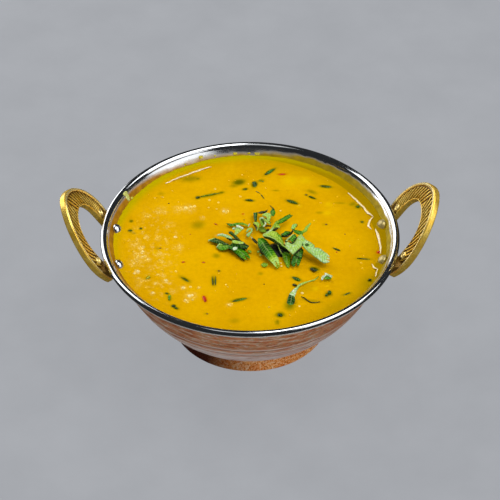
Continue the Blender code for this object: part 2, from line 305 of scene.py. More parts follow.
# %% Floor
floor_mesh = bpy.data.meshes.new("floor")
FLOOR_HALF = 6.0
FLOOR_GLOW = 10.4
corners = ((-1, -1), (1, -1), (1, 1), (-1, 1))
floor_mesh.from_pydata([(x * FLOOR_HALF, y * FLOOR_HALF, 0) for x, y in corners], [], [(0, 1, 2, 3)])
floor = add_piece("floor", floor_mesh)
floor_finish, tree, shader = new_finish("floor_grey", roughness=0.85)
mottle = noise_of(tree, 0.035, detail=5.0)
stone = ramp(tree, mottle, [(0.3, srgb(49, 50, 52)), (0.7, srgb(51, 52, 54))])
connect(tree, shader, base_color=stone, emission_color=stone)
shader.inputs["Emission Strength"].default_value = FLOOR_GLOW
floor_mesh.materials.append(floor_finish)
floor.visible_glossy = False

# %% Lights
LIGHTS_AIM_Z = 0.05


def soft_box(name, azimuth, elevation, distance, width, height, watts):
    """A rectangular light that faces the bowl. Azimuth is counted from +X towards +Y, in degrees."""
    turn, rise = math.radians(azimuth), math.radians(elevation)
    away = Vector((math.cos(turn) * math.cos(rise), math.sin(turn) * math.cos(rise), math.sin(rise)))
    data = bpy.data.lights.new(name, "AREA")
    data.shape = "RECTANGLE"
    data.size = width
    data.size_y = height
    data.energy = watts
    light = bpy.data.objects.new(name, data)
    bpy.context.scene.collection.objects.link(light)
    light.location = Vector((0, 0, LIGHTS_AIM_Z)) + away * distance
    light.rotation_euler = away.to_track_quat("Z", "Y").to_euler()
    return light


soft_box("window_left", 134, 26, 1.3, 1.2, 1.5, 15)
soft_box("window_right", 5, 66, 1.3, 0.95, 1.05, 11)
soft_box("overhead", 270, 80, 1.6, 0.9, 0.8, 1.8)
soft_box("front_right", -30, 34, 1.6, 1.35, 0.75, 5)
front_fill = soft_box("front_fill", 270, 16, 1.3, 1.6, 0.7, 5)
front_fill.visible_glossy = False

world = bpy.data.worlds.new("studio")
world.use_nodes = True
background = world.node_tree.nodes["Background"].inputs
background["Color"].default_value = (0.90, 0.95, 1.0, 1.0)
background["Strength"].default_value = 0.03
bpy.context.scene.world = world
bpy.context.scene.view_settings.view_transform = "Standard"
print("lights:", ", ".join(light.name for light in bpy.data.lights))

# %% [markdown]
# ## The bowl's shape
# The bowl, its jacket and the dal all follow one curved wall. It is an ellipse seen from the side, which
# bends outwards near the top, and each layer is the same curve drawn in by a little more. The formula
# gives the radius at any height, so every piece that touches the wall can ask it.

# %% Wall formula
WALL_ACROSS = 0.0728
WALL_UP = 0.0825
WALL_CENTRE_Z = 0.0765
FLARE_Z = 0.0500
FLARE_BEND = 0.0030
FLARE_SLOPE = 0.60
GAP = 0.0003
SHEET = 0.0009
LINER_OUTSIDE = SHEET + GAP
LINER_INSIDE = 2 * SHEET + GAP
BASE_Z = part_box("copper_jacket")[0].z
JACKET_TOP_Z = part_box("copper_jacket")[1].z
RIM_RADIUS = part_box("steel_bowl")[1].x
DAL_LEVEL = 0.0530
DAL_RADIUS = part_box("dal")[1].x


def skin_radius(z, inset):
    """Radius at height z of the wall's layer that lies inset inside the jacket's outer face."""
    low = min(z, FLARE_Z)
    across = WALL_ACROSS - inset
    up = WALL_UP - inset
    level = math.sqrt(1 - ((WALL_CENTRE_Z - low) / up) ** 2)
    if z <= FLARE_Z:
        return across * level
    start = across * (WALL_CENTRE_Z - low) / (up * up * level)
    bent = min(z - FLARE_Z, FLARE_BEND)
    growth = (FLARE_SLOPE - start) / FLARE_BEND
    rise = z - FLARE_Z
    return across * level + start * rise + growth * bent * bent / 2 + growth * bent * (rise - bent)


def skin(inset, low_z, top_z, rings):
    """A layer of the wall from low_z to top_z, as points of (radius, height)."""
    heights = np.linspace(low_z, top_z, rings + 1)
    return [(skin_radius(z, inset), z) for z in heights]

# %% [markdown]
# ## Turning a profile with Geometry Nodes
# Spun metal is made on a lathe, so each metal shell is one profile turned about the bowl's axis. The node
# tree below sweeps the profile round a circle, closes the poles, and then pushes the surface in and out a
# little with noise, as hammering and spinning leave it. Its sizes are named inputs, so the same tree
# makes the bowl, the jacket and the foot ring.

# %% Turned shell tree
TURN_CENTRE = 0.02
SAME_PLACE = 0.000002


def new_tree(name, **kinds):
    """A Geometry Nodes tree with inputs of the given kinds and one mesh out, and the inputs' sockets."""
    tree = bpy.data.node_groups.new(name, "GeometryNodeTree")
    for title, kind in kinds.items():
        tree.interface.new_socket(title.replace("_", " "), in_out="INPUT", socket_type="NodeSocket" + kind)
    tree.interface.new_socket("Shell", in_out="OUTPUT", socket_type="NodeSocketGeometry")
    return tree, add_node(tree, "NodeGroupInput").outputs


def end_tree(tree, given, shape):
    """Makes what the tree built real, smooth and painted, and hands it out."""
    realized = add_node(tree, "GeometryNodeRealizeInstances", {"Geometry": shape})
    smooth = add_node(tree, "GeometryNodeSetShadeSmooth", {"Geometry": realized.outputs[0]})
    painted = add_node(tree, "GeometryNodeSetMaterial",
                       {"Geometry": smooth.outputs[0], "Material": given["Material"]})
    add_node(tree, "NodeGroupOutput", {0: painted.outputs[0]})
    return tree


def turned_shell_tree():
    tree, given = new_tree("Turned shell", Profile="Geometry", Steps="Int", Dent_Depth="Float",
                           Dent_Size="Float", Dent_Stretch="Float", Seed="Float", Material="Material")
    circle = add_node(tree, "GeometryNodeCurvePrimitiveCircle",
                      {"Resolution": given["Steps"], "Radius": TURN_CENTRE})
    profile = add_node(tree, "GeometryNodeMeshToCurve", {"Mesh": given["Profile"]})
    swept = add_node(tree, "GeometryNodeCurveToMesh",
                     {"Curve": circle.outputs["Curve"], "Profile Curve": profile.outputs[0]})
    closed = add_node(tree, "GeometryNodeMergeByDistance",
                      {"Geometry": swept.outputs[0], "Distance": SAME_PLACE})
    place = add_node(tree, "GeometryNodeInputPosition").outputs[0]
    flat = add_node(tree, "ShaderNodeCombineXYZ", {"X": 1.0, "Y": 1.0, "Z": given["Dent Stretch"]})
    dents = add_node(tree, "ShaderNodeTexNoise", {
        "Vector": vector_of(tree, "MULTIPLY", place, flat.outputs[0]), "W": given["Seed"],
        "Scale": math_of(tree, "DIVIDE", 1.0, given["Dent Size"]), "Detail": 2.0,
    }, noise_dimensions="4D")
    depth = times(tree, math_of(tree, "SUBTRACT", dents.outputs[0], 0.5), given["Dent Depth"])
    out = add_node(tree, "GeometryNodeInputNormal").outputs[0]
    push = vector_of(tree, "SCALE", out, Scale=depth)
    moved = add_node(tree, "GeometryNodeSetPosition", {"Geometry": closed.outputs[0], "Offset": push})
    return end_tree(tree, given, moved.outputs[0])


def add_tree(obj, tree, values):
    """Gives an object the tree as a modifier. Blender keeps its inputs under their sockets' identifiers."""
    modifier = obj.modifiers.new(tree.name, "NODES")
    modifier.node_group = tree
    for item in tree.interface.items_tree:
        if item.in_out == "INPUT" and item.name in values:
            modifier[item.identifier] = values[item.name]


SHELL_TREE = turned_shell_tree()


def turned_shell(name, profile, material, closed=False, **inputs):
    """A profile of (radius, height) points, running down its outer side, turned into a plain mesh."""
    mesh = bpy.data.meshes.new(name)
    last = len(profile) - 1
    edges = [(i, i + 1) for i in range(last)] + ([(last, 0)] if closed else [])
    mesh.from_pydata([(r - TURN_CENTRE, -z, 0.0) for r, z in profile], edges, [])
    obj = add_piece(name, mesh)
    names = {name.replace("_", " "): value for name, value in inputs.items()}
    add_tree(obj, SHELL_TREE, {"Material": material, "Dent Stretch": 1.0, **names})
    return freeze(obj)

# %% [markdown]
# ## Steel bowl
# The inner bowl is one sheet of stainless steel. Its wall flares at the top and rolls outwards over a
# bead, which gives the lip its double line of light. Fine lines from polishing run round it, so its noise
# is drawn out round the axis. Near the food, a thin film of dal clings to the wall and turns the steel
# yellow.

# %% Turned noise
def turned_noise(tree, size, along, detail=3.0, seed=0.0):
    """Noise in lines round the bowl's axis, about size metres across. A high along makes them short."""
    place = add_node(tree, "ShaderNodeTexCoord").outputs["Object"]
    flat = vector_of(tree, "MULTIPLY", place, (1, 1, 0))
    radius = vector_of(tree, "LENGTH", flat)
    heading = vector_of(tree, "SCALE", vector_of(tree, "NORMALIZE", flat), Scale=along)
    vector = add_node(tree, "ShaderNodeCombineXYZ", {
        "X": axis_of(tree, heading, "X"), "Y": axis_of(tree, heading, "Y"),
        "Z": times(tree, radius, 1 / size),
    }).outputs[0]
    lift = math_of(tree, "MULTIPLY_ADD", axis_of(tree, place, "Z"), 1 / size, seed)
    return add_node(tree, "ShaderNodeTexNoise", {
        "Vector": vector, "W": lift, "Scale": 1.0, "Detail": detail,
    }, noise_dimensions="4D").outputs[0]

# %% Steel finish
FILM_TOP = 0.0544
FILM_TOP_LEFT = 0.0561
FILM_TOP_RIGHT = 0.0559
BRUSHED_Z = (0.0572, 0.0562)


def steel_finish(name, film_roughness):
    """Polished steel with turning lines. Its film of dal follows the mesh's own film attribute."""
    material, tree, shader = new_finish(name, metallic=1.0)
    lines = turned_noise(tree, 0.00025, 9.0)
    clouds = noise_of(tree, 0.009, detail=5.0)
    grain = noise_of(tree, 0.0006, detail=2.0)
    tone = ramp(tree, mixed_from(tree, lines, 0.5, clouds, 0.5),
                [(0.3, (0.56, 0.58, 0.60)), (0.7, (0.72, 0.74, 0.76))])
    place = object_place(tree)
    brushed = between(tree, axis_of(tree, place, "Z"), *BRUSHED_Z, 0.0, 0.12)
    rough = math_of(tree, "ADD", between(tree, clouds, 0.3, 0.7, 0.06, 0.12), brushed)
    height = mixed_from(tree, lines, 0.6, grain, 0.4)
    connect(tree, shader, normal=bump_of(tree, height, 0.00002, 0.35))
    hem = attribute_of(tree, "hem")
    tone = blend_colours(tree, hem, tone, (0.80, 0.76, 0.71))
    rough = math_of(tree, "MULTIPLY_ADD", hem, 0.4, rough)
    if film_roughness:
        cover = attribute_of(tree, "film")
        thin = noise_of(tree, 0.004, detail=4.0)
        brown = ramp(tree, thin, [(0.3, srgb(158, 106, 2)), (0.7, srgb(196, 140, 8))])
        olive = ramp(tree, thin, [(0.3, srgb(150, 128, 4)), (0.7, srgb(186, 160, 16))])
        tint = blend_colours(tree, between(tree, axis_of(tree, place, "X"), -0.05, 0.03), brown, olive)
        tone = blend_colours(tree, cover, tone, tint)
        rough = math_of(tree, "MULTIPLY_ADD", cover, film_roughness, rough)
        dull = math_of(tree, "MAXIMUM", cover, hem)
        connect(tree, shader, metallic=between(tree, dull, 0.0, 1.0, 1.0, 0.30))
        shader.inputs["Specular IOR Level"].default_value = 0.3
    connect(tree, shader, base_color=tone, roughness=rough)
    return material


STEEL = steel_finish("polished_steel", 0.42)

# %% Inside of the wall
# Near the top the wall leans out in one smooth curve, a cubic from the spun wall up to the bead.
LEAN_OUT_FROM_Z = 0.0505
LEAN_OUT_END = Vector((0.0714, 0.05675))
LEAN_OUT_START = Vector((skin_radius(LEAN_OUT_FROM_Z, LINER_INSIDE), LEAN_OUT_FROM_Z))
LEAN_OUT_PULLS = (Vector((0.0006, 0.0019)), Vector((-0.0013, -0.0018)))


def lean_out(points):
    """The inside's curve from the spun wall up to the bead, as points of (radius, height)."""
    curve = []
    for u in np.linspace(0, 1, points):
        curve.append(LEAN_OUT_START * (1 - u) ** 3
                     + (LEAN_OUT_START + LEAN_OUT_PULLS[0]) * 3 * u * (1 - u) ** 2
                     + (LEAN_OUT_END + LEAN_OUT_PULLS[1]) * 3 * u * u * (1 - u)
                     + LEAN_OUT_END * u ** 3)
    return [tuple(point) for point in curve]


lean_table = np.array(lean_out(60))


def inner_radius(z):
    """Radius of the bowl's inside at height z, up to the bead."""
    if z <= LEAN_OUT_FROM_Z:
        return skin_radius(z, LINER_INSIDE)
    return float(np.interp(z, lean_table[:, 1], lean_table[:, 0]))


print("inside radius at the dal's level", round(inner_radius(DAL_LEVEL) / MM, 2), "mm")

# %% Steel bowl
LINER_FLOOR_Z = BASE_Z + LINER_INSIDE
LINER_UNDER_Z = BASE_Z + LINER_OUTSIDE
BEAD_RADIUS = 0.0014
BEAD = (RIM_RADIUS - BEAD_RADIUS, 0.05685)
LIP_RADIUS = 0.0023
LIP = (BEAD[0], BEAD[1] + BEAD_RADIUS - LIP_RADIUS)
HEM_RADIUS = 0.00055
HEM = (0.07350, 0.05495)
OUTER_TOP_Z = 0.0536
HEM_TOP_Z = 0.0557
HEM_FADE = 0.0003
FILM_RAGGED = 0.0008
FILM_FADE = 0.0008
FILM_FADE_BACK = 0.0014


def round_arc(middle, radius, start, end, points):
    """An arc from start to end in degrees, counted from outwards towards up."""
    return [(middle[0] + radius * math.cos(a), middle[1] + radius * math.sin(a))
            for a in np.radians(np.linspace(start, end, points))]


def flat_floor(edge, z, rings):
    """A flat disc at height z as points from the axis out, without its edge point."""
    return [(edge * i / rings, z) for i in range(rings)]


inner = skin(LINER_INSIDE, LINER_FLOOR_Z, LEAN_OUT_FROM_Z, 44) + lean_out(22)[1:]
outer = skin(LINER_OUTSIDE, LINER_UNDER_Z, OUTER_TOP_Z, 30)
bowl_profile = (flat_floor(inner[0][0], LINER_FLOOR_Z, 10) + inner + round_arc(LIP, LIP_RADIUS, 155, 90, 16)
                + round_arc(BEAD, BEAD_RADIUS, 84, -62, 20) + round_arc(HEM, HEM_RADIUS, 70, -100, 12)
                + outer[::-1] + flat_floor(outer[0][0], LINER_UNDER_Z, 6)[::-1])
steel_bowl = turned_shell("steel_bowl_spun", bowl_profile, STEEL, Steps=224,
                          Dent_Depth=0.00010, Dent_Size=0.011, Seed=3.0)


def film_cover(point):
    """How thick the film of dal is on the steel here, from 0 to 1."""
    x, y, z = point
    radius = math.hypot(x, y)
    if z > LEAN_OUT_END.y or radius > inner_radius(z) + 0.0005:
        return 0.0
    ragged = (noise.noise(Vector((x, y, z * 3)) * 160) * FILM_RAGGED
              + noise.noise(Vector((x, y, z)) * 500) * FILM_RAGGED / 2)
    leftness = clamp((-x / radius - 0.55) / 0.3)
    rightness = clamp((x / radius - 0.05) / 0.5)
    top = FILM_TOP + (FILM_TOP_LEFT - FILM_TOP) * leftness + (FILM_TOP_RIGHT - FILM_TOP) * rightness
    top += ragged * (1 - 0.8 * leftness)
    fade = FILM_FADE + FILM_FADE_BACK * clamp(y / radius * 1.6 - 0.5) * (1 - rightness)
    return clamp((top + fade / 2 - z) / fade)


def hem_cover(point):
    """How far this place lies on the thin hem under the bead, which the finish paints pale and rough, from
    0 to 1.
    """
    radius = math.hypot(point.x, point.y)
    low = clamp((HEM_TOP_Z - point.z) / HEM_FADE)
    return low if radius > HEM[0] - 2 * HEM_RADIUS and point.z > OUTER_TOP_Z else 0.0


add_attribute(steel_bowl.data, "film", [film_cover(vertex.co) for vertex in steel_bowl.data.vertices])
add_attribute(steel_bowl.data, "hem", [hem_cover(vertex.co) for vertex in steel_bowl.data.vertices])
finish_piece(steel_bowl, "steel", "steel_bowl")

# %% [markdown]
# ## Copper jacket
# The outer bowl is thin copper, turned with rings and grooves and left to dull. Patina lies on it in
# streaks that follow the turning, brown, red and pale. Towards the bottom it is painted pale pink-grey, a
# painted reflection of the pale floor, and each groove has a painted highlight line above it and a
# painted line of shade in it.

# %% Jacket finish
GROOVES_Z = (0.0340, 0.0288)
# How far above each groove its painted highlight line and its painted line of shade lie, their half width
# and their colour.
GROOVE_HIGHLIGHT_AND_SHADE = ((0.0022, 0.0010, srgb(246, 222, 208)), (0.0004, 0.0009, srgb(98, 50, 30)))


def jacket_finish():
    material, tree, shader = new_finish("jacket_patina_and_painted_light", metallic=0.15)
    fine = turned_noise(tree, 0.0005, 9.0, seed=3.0)
    bands = turned_noise(tree, 0.0022, 3.0, detail=2.0, seed=8.0)
    blotch = noise_of(tree, 0.0045, detail=6.0, stretch=(1, 1, 0.4), roughness=0.7)
    place = add_node(tree, "ShaderNodeTexCoord").outputs["Object"]
    height = axis_of(tree, place, "Z")
    mixed = mixed_from(tree, fine, 0.5, bands, 0.5)
    tone = ramp(tree, mixed, [(0.40, srgb(104, 40, 18)), (0.46, srgb(206, 114, 68)),
                              (0.50, srgb(250, 170, 122)), (0.53, srgb(168, 128, 80)),
                              (0.58, srgb(255, 238, 222))])
    old = ramp(tree, blotch, [(0.38, srgb(122, 52, 24)), (0.46, srgb(232, 134, 80)),
                              (0.54, srgb(178, 152, 104)), (0.62, srgb(254, 228, 212))])
    patina_and_painted_light = blend_colours(tree, 0.5, tone, old)
    pale_floor_reflection = ramp(tree, mixed, [(0.38, srgb(184, 132, 110)), (0.48, srgb(250, 222, 210)),
                              (0.60, srgb(255, 252, 250))])
    # Paler pink-grey towards the bottom: a painted reflection of the pale floor.
    low = times(tree, between(tree, height, 0.036, 0.023), 0.85, clamped=True)
    patina_and_painted_light = blend_colours(tree, low, patina_and_painted_light, pale_floor_reflection)
    # Each groove gets a painted highlight line above it and a painted line of shade in it.
    for groove in GROOVES_Z:
        for above, half_width, colour in GROOVE_HIGHLIGHT_AND_SHADE:
            away = math_of(tree, "ABSOLUTE", math_of(tree, "SUBTRACT", height, groove + above))
            edge = times(tree, between(tree, away, half_width, 0.0, 0.0, 1.3), 0.75, clamped=True)
            patina_and_painted_light = blend_colours(tree, edge, patina_and_painted_light, colour)
    connect(tree, shader, base_color=patina_and_painted_light, roughness=between(tree, mixed, 0.3, 0.7, 0.24, 0.42),
            normal=bump_of(tree, mixed, 0.00016, 0.7))
    return material

# %% Jacket
JACKET_INSIDE = SHEET
GROOVE_DEPTH = 0.0004
GROOVE_HALF_WIDTH = 0.0011
RING_PITCH = 0.0017
RING_DEPTH = 0.00009


def turned_ring(z):
    """How far in the jacket is cut at height z: two grooves, and fine rings below them."""
    cut = 0.0
    for groove in GROOVES_Z:
        away = abs(z - groove) / GROOVE_HALF_WIDTH
        cut = max(cut, GROOVE_DEPTH * max(0.0, 1 - away) ** 0.7)
    if z < GROOVES_Z[1] - GROOVE_HALF_WIDTH:
        cut += RING_DEPTH * (1 - math.cos(2 * math.pi * z / RING_PITCH))
    return cut


inside = skin(JACKET_INSIDE, BASE_Z + JACKET_INSIDE, JACKET_TOP_Z, 20)
outside = [(r - turned_ring(z), z) for r, z in skin(0.0, BASE_Z, JACKET_TOP_Z, 150)]
jacket_profile = (flat_floor(inside[0][0], inside[0][1], 4) + inside + outside[::-1]
                  + flat_floor(outside[0][0], BASE_Z, 6)[::-1])
jacket = turned_shell("copper_jacket_spun", jacket_profile, jacket_finish(), Steps=224,
                      Dent_Depth=0.00035, Dent_Size=0.012, Dent_Stretch=2.0, Seed=7.0)
finish_piece(jacket, "jacket_copper", "copper_jacket")

# %% [markdown]
# ## Foot ring
# The foot is a heavier ring of bright copper, beaten with a small hammer. Each blow leaves a shallow
# facet, so Voronoi cells give the relief, and the noise that pushes the shell gives it an uneven edge.

# %% Foot ring
def foot_finish():
    material, tree, shader = new_finish("foot_beaten_copper", metallic=0.12)
    cells = cells_of(tree, 950)
    speck = noise_of(tree, 0.0006, detail=4.0, roughness=0.65)
    wide = noise_of(tree, 0.008, detail=4.0)
    mixed = mixed_from(tree, speck, 0.75, cells, 0.30)
    tone = ramp(tree, mixed, [(0.40, srgb(130, 50, 4)), (0.48, srgb(246, 126, 30)),
                              (0.55, srgb(255, 172, 76)), (0.64, srgb(255, 232, 200))])
    rubbed = ramp(tree, wide, [(0.35, srgb(206, 100, 26)), (0.65, srgb(255, 192, 116))])
    copper = blend_colours(tree, 0.35, tone, rubbed)
    # Darker towards the left: a painted shade.
    left_shade = between(tree, axis_of(tree, object_place(tree), "X"), 0.004, -0.023, 0.0, 1.0)
    shaded_copper = blend_colours(tree, 1.0, copper, srgb(72, 43, 25), "MULTIPLY")
    copper = blend_colours(tree, left_shade, copper, shaded_copper)
    connect(tree, shader, base_color=copper, roughness=between(tree, speck, 0.3, 0.7, 0.22, 0.38),
            normal=bump_of(tree, mixed, 0.0002, 0.8))
    return material


FOOT_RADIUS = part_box("foot_ring")[1].x
FOOT_WALL = 0.0022
FOOT_TAPER = 0.0010
FOOT_CHAMFER = 0.0003


def jacket_underside(radius):
    """Height at which the jacket's outer face has this radius."""
    return WALL_CENTRE_Z - WALL_UP * math.sqrt(1 - (radius / WALL_ACROSS) ** 2)


def foot_profile():
    top_outer, top_inner = FOOT_RADIUS - FOOT_TAPER, FOOT_RADIUS - FOOT_WALL
    top = [(r, jacket_underside(r) - GAP) for r in np.linspace(top_inner, top_outer, 4)]
    side = []
    for part in np.linspace(0.06, 1.0, 12):
        z = top[-1][1] * (1 - part) + FOOT_CHAMFER * part
        side.append((top_outer + FOOT_TAPER * part ** 1.6, z))
    middle = FOOT_RADIUS - FOOT_WALL / 2
    under = [(r, 0.0) for r in (FOOT_RADIUS - FOOT_CHAMFER, middle, top_inner + FOOT_CHAMFER)]
    inner_side = [(top_inner, z) for z in np.linspace(FOOT_CHAMFER, top[0][1], 8)[:-1]]
    return top + side + under + inner_side


foot = turned_shell("foot_ring_beaten", foot_profile(), foot_finish(), closed=True, Steps=288,
                    Dent_Depth=0.00022, Dent_Size=0.0026, Seed=11.0)
low = min(vertex.co.z for vertex in foot.data.vertices)
for vertex in foot.data.vertices:
    vertex.co.z = max(0.0, vertex.co.z - low * (vertex.co.z < FOOT_CHAMFER))
finish_piece(foot, "foot_copper", "foot_ring")

# %% [markdown]
# ## Brass handles
# Each handle is a flat cast ring. Its face has a smooth raised border outside, and inside that a field of
# slanted flutes like the barbs of a feather, grouped in scallops, with a small scroll near each foot. A
# grid that follows the arch makes this well: one direction runs along the ring and the other goes round
# its section, so the carving is a height added to the face, with no cutting.

# %% Handle outline
LEAN = math.radians(58)
HANDLE_X = 0.0760
HANDLE_Z = 0.0580
HANDLE_THICKNESS = 0.0032
ARCH_HALF_WIDTH = 0.0255
ARCH_RISE = 0.0288
ARCH_POWER = 1.75
HOLE_HALF_WIDTH = 0.0152
HOLE_RISE = 0.0167
HOLE_POWER = 2.2
FOOT_BOTTOM_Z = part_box("handle_right")[0].z
LEG_TUCK = 0.0042
STATIONS = 760


def superellipse(angles, half_width, rise, power):
    """Half of an arch that is squarer than an ellipse when power is above 2."""
    c, s = np.cos(angles), np.sin(angles)
    across = half_width * np.sign(c) * np.abs(c) ** (2 / power)
    return np.stack([across, rise * np.abs(s) ** (2 / power)], axis=1)


def resampled(points, along, wanted):
    """The same line with its points moved to the wanted lengths along it."""
    return np.stack([np.interp(wanted, along, points[:, k]) for k in range(2)], axis=1)


def handle_edges():
    """Outer and inner edges, up the front leg, over the arch and down the back one, evenly spaced."""
    angles = np.linspace(0, math.pi, 1500)
    z = np.linspace(FOOT_BOTTOM_Z, HANDLE_Z, 60)[:-1]
    part = (HANDLE_Z - z) / (HANDLE_Z - FOOT_BOTTOM_Z)
    up_face = (z - HANDLE_Z) / math.sin(LEAN)
    leg_out = np.stack([ARCH_HALF_WIDTH - LEG_TUCK * part * part, up_face], axis=1)
    leg_in = np.stack([np.full_like(z, HOLE_HALF_WIDTH), up_face], axis=1)
    mirror = np.array([-1, 1])
    outer = np.concatenate([leg_out, superellipse(angles, ARCH_HALF_WIDTH, ARCH_RISE, ARCH_POWER),
                            (leg_out * mirror)[::-1]])
    inner = np.concatenate([leg_in, superellipse(angles, HOLE_HALF_WIDTH, HOLE_RISE, HOLE_POWER),
                            (leg_in * mirror)[::-1]])
    middle = (outer + inner) / 2
    along = np.concatenate([[0], np.cumsum(np.linalg.norm(np.diff(middle, axis=0), axis=1))])
    wanted = np.linspace(0, along[-1], STATIONS)
    return resampled(outer, along, wanted), resampled(inner, along, wanted), wanted - along[-1] / 2


handle_outer, handle_inner, handle_along = handle_edges()
print("the handle is", round((handle_along[-1] - handle_along[0]) / MM, 1), "mm long round its middle")

# %% Carving
EDGE_ROUND = 0.0006
BORDER_FROM = 0.80
FLUTE_PITCH = 0.00265
FLUTE_DEPTH = 0.00060
SCALLOP_PITCH = 0.0047
HOLLOW_FROM = 0.00012
HOLLOW_DARKNESS = 2.6
SCROLL_RADIUS = 0.0018
SCROLL_AT = (HOLE_HALF_WIDTH + 0.0034, -0.0012)
FIELD_SUNK = 0.0002
CROWN_RISE = 0.00025
ROPE_RISE = 0.00022
ROPE_PITCH = 0.00085
BORDER_RISE = 0.00055
BORDER_GROOVE = 0.00045


def smooth_step(value, low, high):
    """0 below low, 1 above high, and a soft rise between."""
    part = np.clip((value - low) / (high - low), 0, 1)
    return part * part * (3 - 2 * part)


def carving(part, away, width, from_scroll):
    """Height of the face. Part runs from the inner edge to the outer one, away is from the arch's top."""
    leg = smooth_step(away, 0.004, 0.030)
    pitch = FLUTE_PITCH * (1 + 0.35 * leg)
    slant = 0.35 + 1.25 * leg
    phase = (away + slant * part * width) / pitch
    flutes = -(0.5 + 0.5 * np.cos(2 * math.pi * phase)) ** 1.3
    big = (away + (slant + 0.5) * part * width) / SCALLOP_PITCH
    scallop = np.abs(np.sin(math.pi * big)) ** 0.4 - 1
    in_field = 1 - smooth_step(part, BORDER_FROM - 0.07, BORDER_FROM - 0.01)
    in_field = smooth_step(part, 0.03, 0.10) * in_field
    crown = np.sin(math.pi * np.clip(part / BORDER_FROM, 0, 1))
    height = in_field * (FLUTE_DEPTH * flutes + 0.6 * FLUTE_DEPTH * leg * scallop)
    height = height - FIELD_SUNK + CROWN_RISE * crown
    rope = (1 - smooth_step(part, 0.08, 0.13)) * smooth_step(part, 0.0, 0.03)
    height += rope * ROPE_RISE * (np.abs(np.sin(math.pi * away / ROPE_PITCH)) - 0.7)
    border = smooth_step(part, BORDER_FROM, BORDER_FROM + 0.07) * (1 - smooth_step(part, 0.96, 1.0))
    height += border * BORDER_RISE
    groove = np.exp(-((part - BORDER_FROM + 0.01) / 0.022) ** 2)
    height -= groove * BORDER_GROOVE
    ring = np.clip(from_scroll / SCROLL_RADIUS, 0, 2)
    scroll = FIELD_SUNK + CROWN_RISE * np.cos(ring * 2.4 * math.pi)
    inside = 1 - smooth_step(ring, 1.0, 1.15)
    return height * (1 - inside) + scroll * inside

# %% Handle mesh
def section_points():
    """Places round the section: share of the width (1 outer, 0 inner), distance in from there, height."""
    half = HANDLE_THICKNESS / 2
    section = []
    bend = np.linspace(0, math.pi / 2, 5)
    for side in (1.0, 0.0):
        low = [(side, EDGE_ROUND * (1 - math.sin(a)), -half + EDGE_ROUND * (1 - math.cos(a))) for a in bend]
        high = [(side, EDGE_ROUND * (1 - math.cos(a)), half - EDGE_ROUND * (1 - math.sin(a))) for a in bend]
        walk = low + [(side, 0.0, -half / 3), (side, 0.0, half / 3)] + high
        if side:
            section += walk
            section += [(part, 0.0, half) for part in np.linspace(0.95, 0.05, 40)]
        else:
            section += walk[::-1]
            section += [(part, 0.0, -half) for part in np.linspace(0.12, 0.88, 5)]
    return section


def handle_body():
    """Grid of points in the handle's own plane: across, up the face, and out of the face."""
    outer, inner, along = handle_outer, handle_inner, handle_along
    across = outer - inner
    width = np.linalg.norm(across, axis=1)
    unit = across / width[:, None]
    columns, heights = [], []
    for side, inset, height in section_points():
        sign = -1.0 if side == 1.0 else 1.0
        inward = inset * (sign if side in (0.0, 1.0) else 0.0)
        place = inner + across * side + unit * inward
        share = np.clip(((place - inner) * unit).sum(axis=1) / width, 0, 1)
        depth = np.full(len(along), height)
        mark = np.zeros(len(along))
        if height >= HANDLE_THICKNESS / 2 - 1e-9 and side not in (0.0, 1.0):
            from_scroll = np.hypot(np.abs(place[:, 0]) - SCROLL_AT[0], place[:, 1] - SCROLL_AT[1])
            mark = carving(share, np.abs(along), width, from_scroll)
            depth = depth + mark
        columns.append(np.stack([place[:, 0], place[:, 1], depth], axis=1))
        heights.append(mark)
    return np.stack(columns, axis=1), np.stack(heights, axis=1)


def to_handle(points, side):
    """From the handle's own plane to its place on the bowl. Side is 1 for the right and -1 for the left."""
    normal = Vector((-math.sin(LEAN), 0, math.cos(LEAN)))
    up = Vector((math.cos(LEAN), 0, math.sin(LEAN)))
    across = up.cross(normal)
    middle = Vector((HANDLE_X, 0, HANDLE_Z)) - normal * HANDLE_THICKNESS / 2
    turn = np.array([across, up, normal])
    world = points @ turn + np.array(middle)
    return world * np.array([side, 1, 1])


grid, relief = handle_body()
print("handle grid", grid.shape[0], "by", grid.shape[1])

# %% [markdown]
# ## Handle feet
# Under the rolled edge, each leg ends in a thick foot that lies on the jacket, with a tongue towards the
# middle where the rivet goes through. It is a stack of the same rounded outline, level by level, whose
# inner side follows the jacket's curve.

# %% Foot blocks
LUG_TOP_Z = 0.0542
LUG_INNER_EDGE = 0.0155
PAD_THICKNESS = 0.0030
PAD_TOP_Z = 0.0530
PAD_FROM = math.radians(5.5)
LUG_LEVELS = 14
LUG_ROUND = 0.0007
ROUND_STEPS = 5
LUG_SHRINK = (0.0006, 0.0002)
LIP_PAD = 0.0012


def leg_edge(z):
    """Half the handle's width at height z, where its legs draw in towards their feet."""
    part = (HANDLE_Z - z) / (HANDLE_Z - FOOT_BOTTOM_Z)
    return ARCH_HALF_WIDTH - LEG_TUCK * part * part


def rounded_outline(corners, radius):
    """A closed outline with each corner rounded by a quarter turn or so of curve."""
    points = []
    for i, corner in enumerate(corners):
        before = Vector(corners[i - 1]) - Vector(corner)
        after = Vector(corners[(i + 1) % len(corners)]) - Vector(corner)
        reach = min(radius, before.length * 0.45, after.length * 0.45)
        start = Vector(corner) + before.normalized() * reach
        end = Vector(corner) + after.normalized() * reach
        for part in np.linspace(0, 1, ROUND_STEPS):
            pull = Vector(corner) * 2 * part * (1 - part)
            points.append(start * (1 - part) ** 2 + pull + end * part ** 2)
    return points


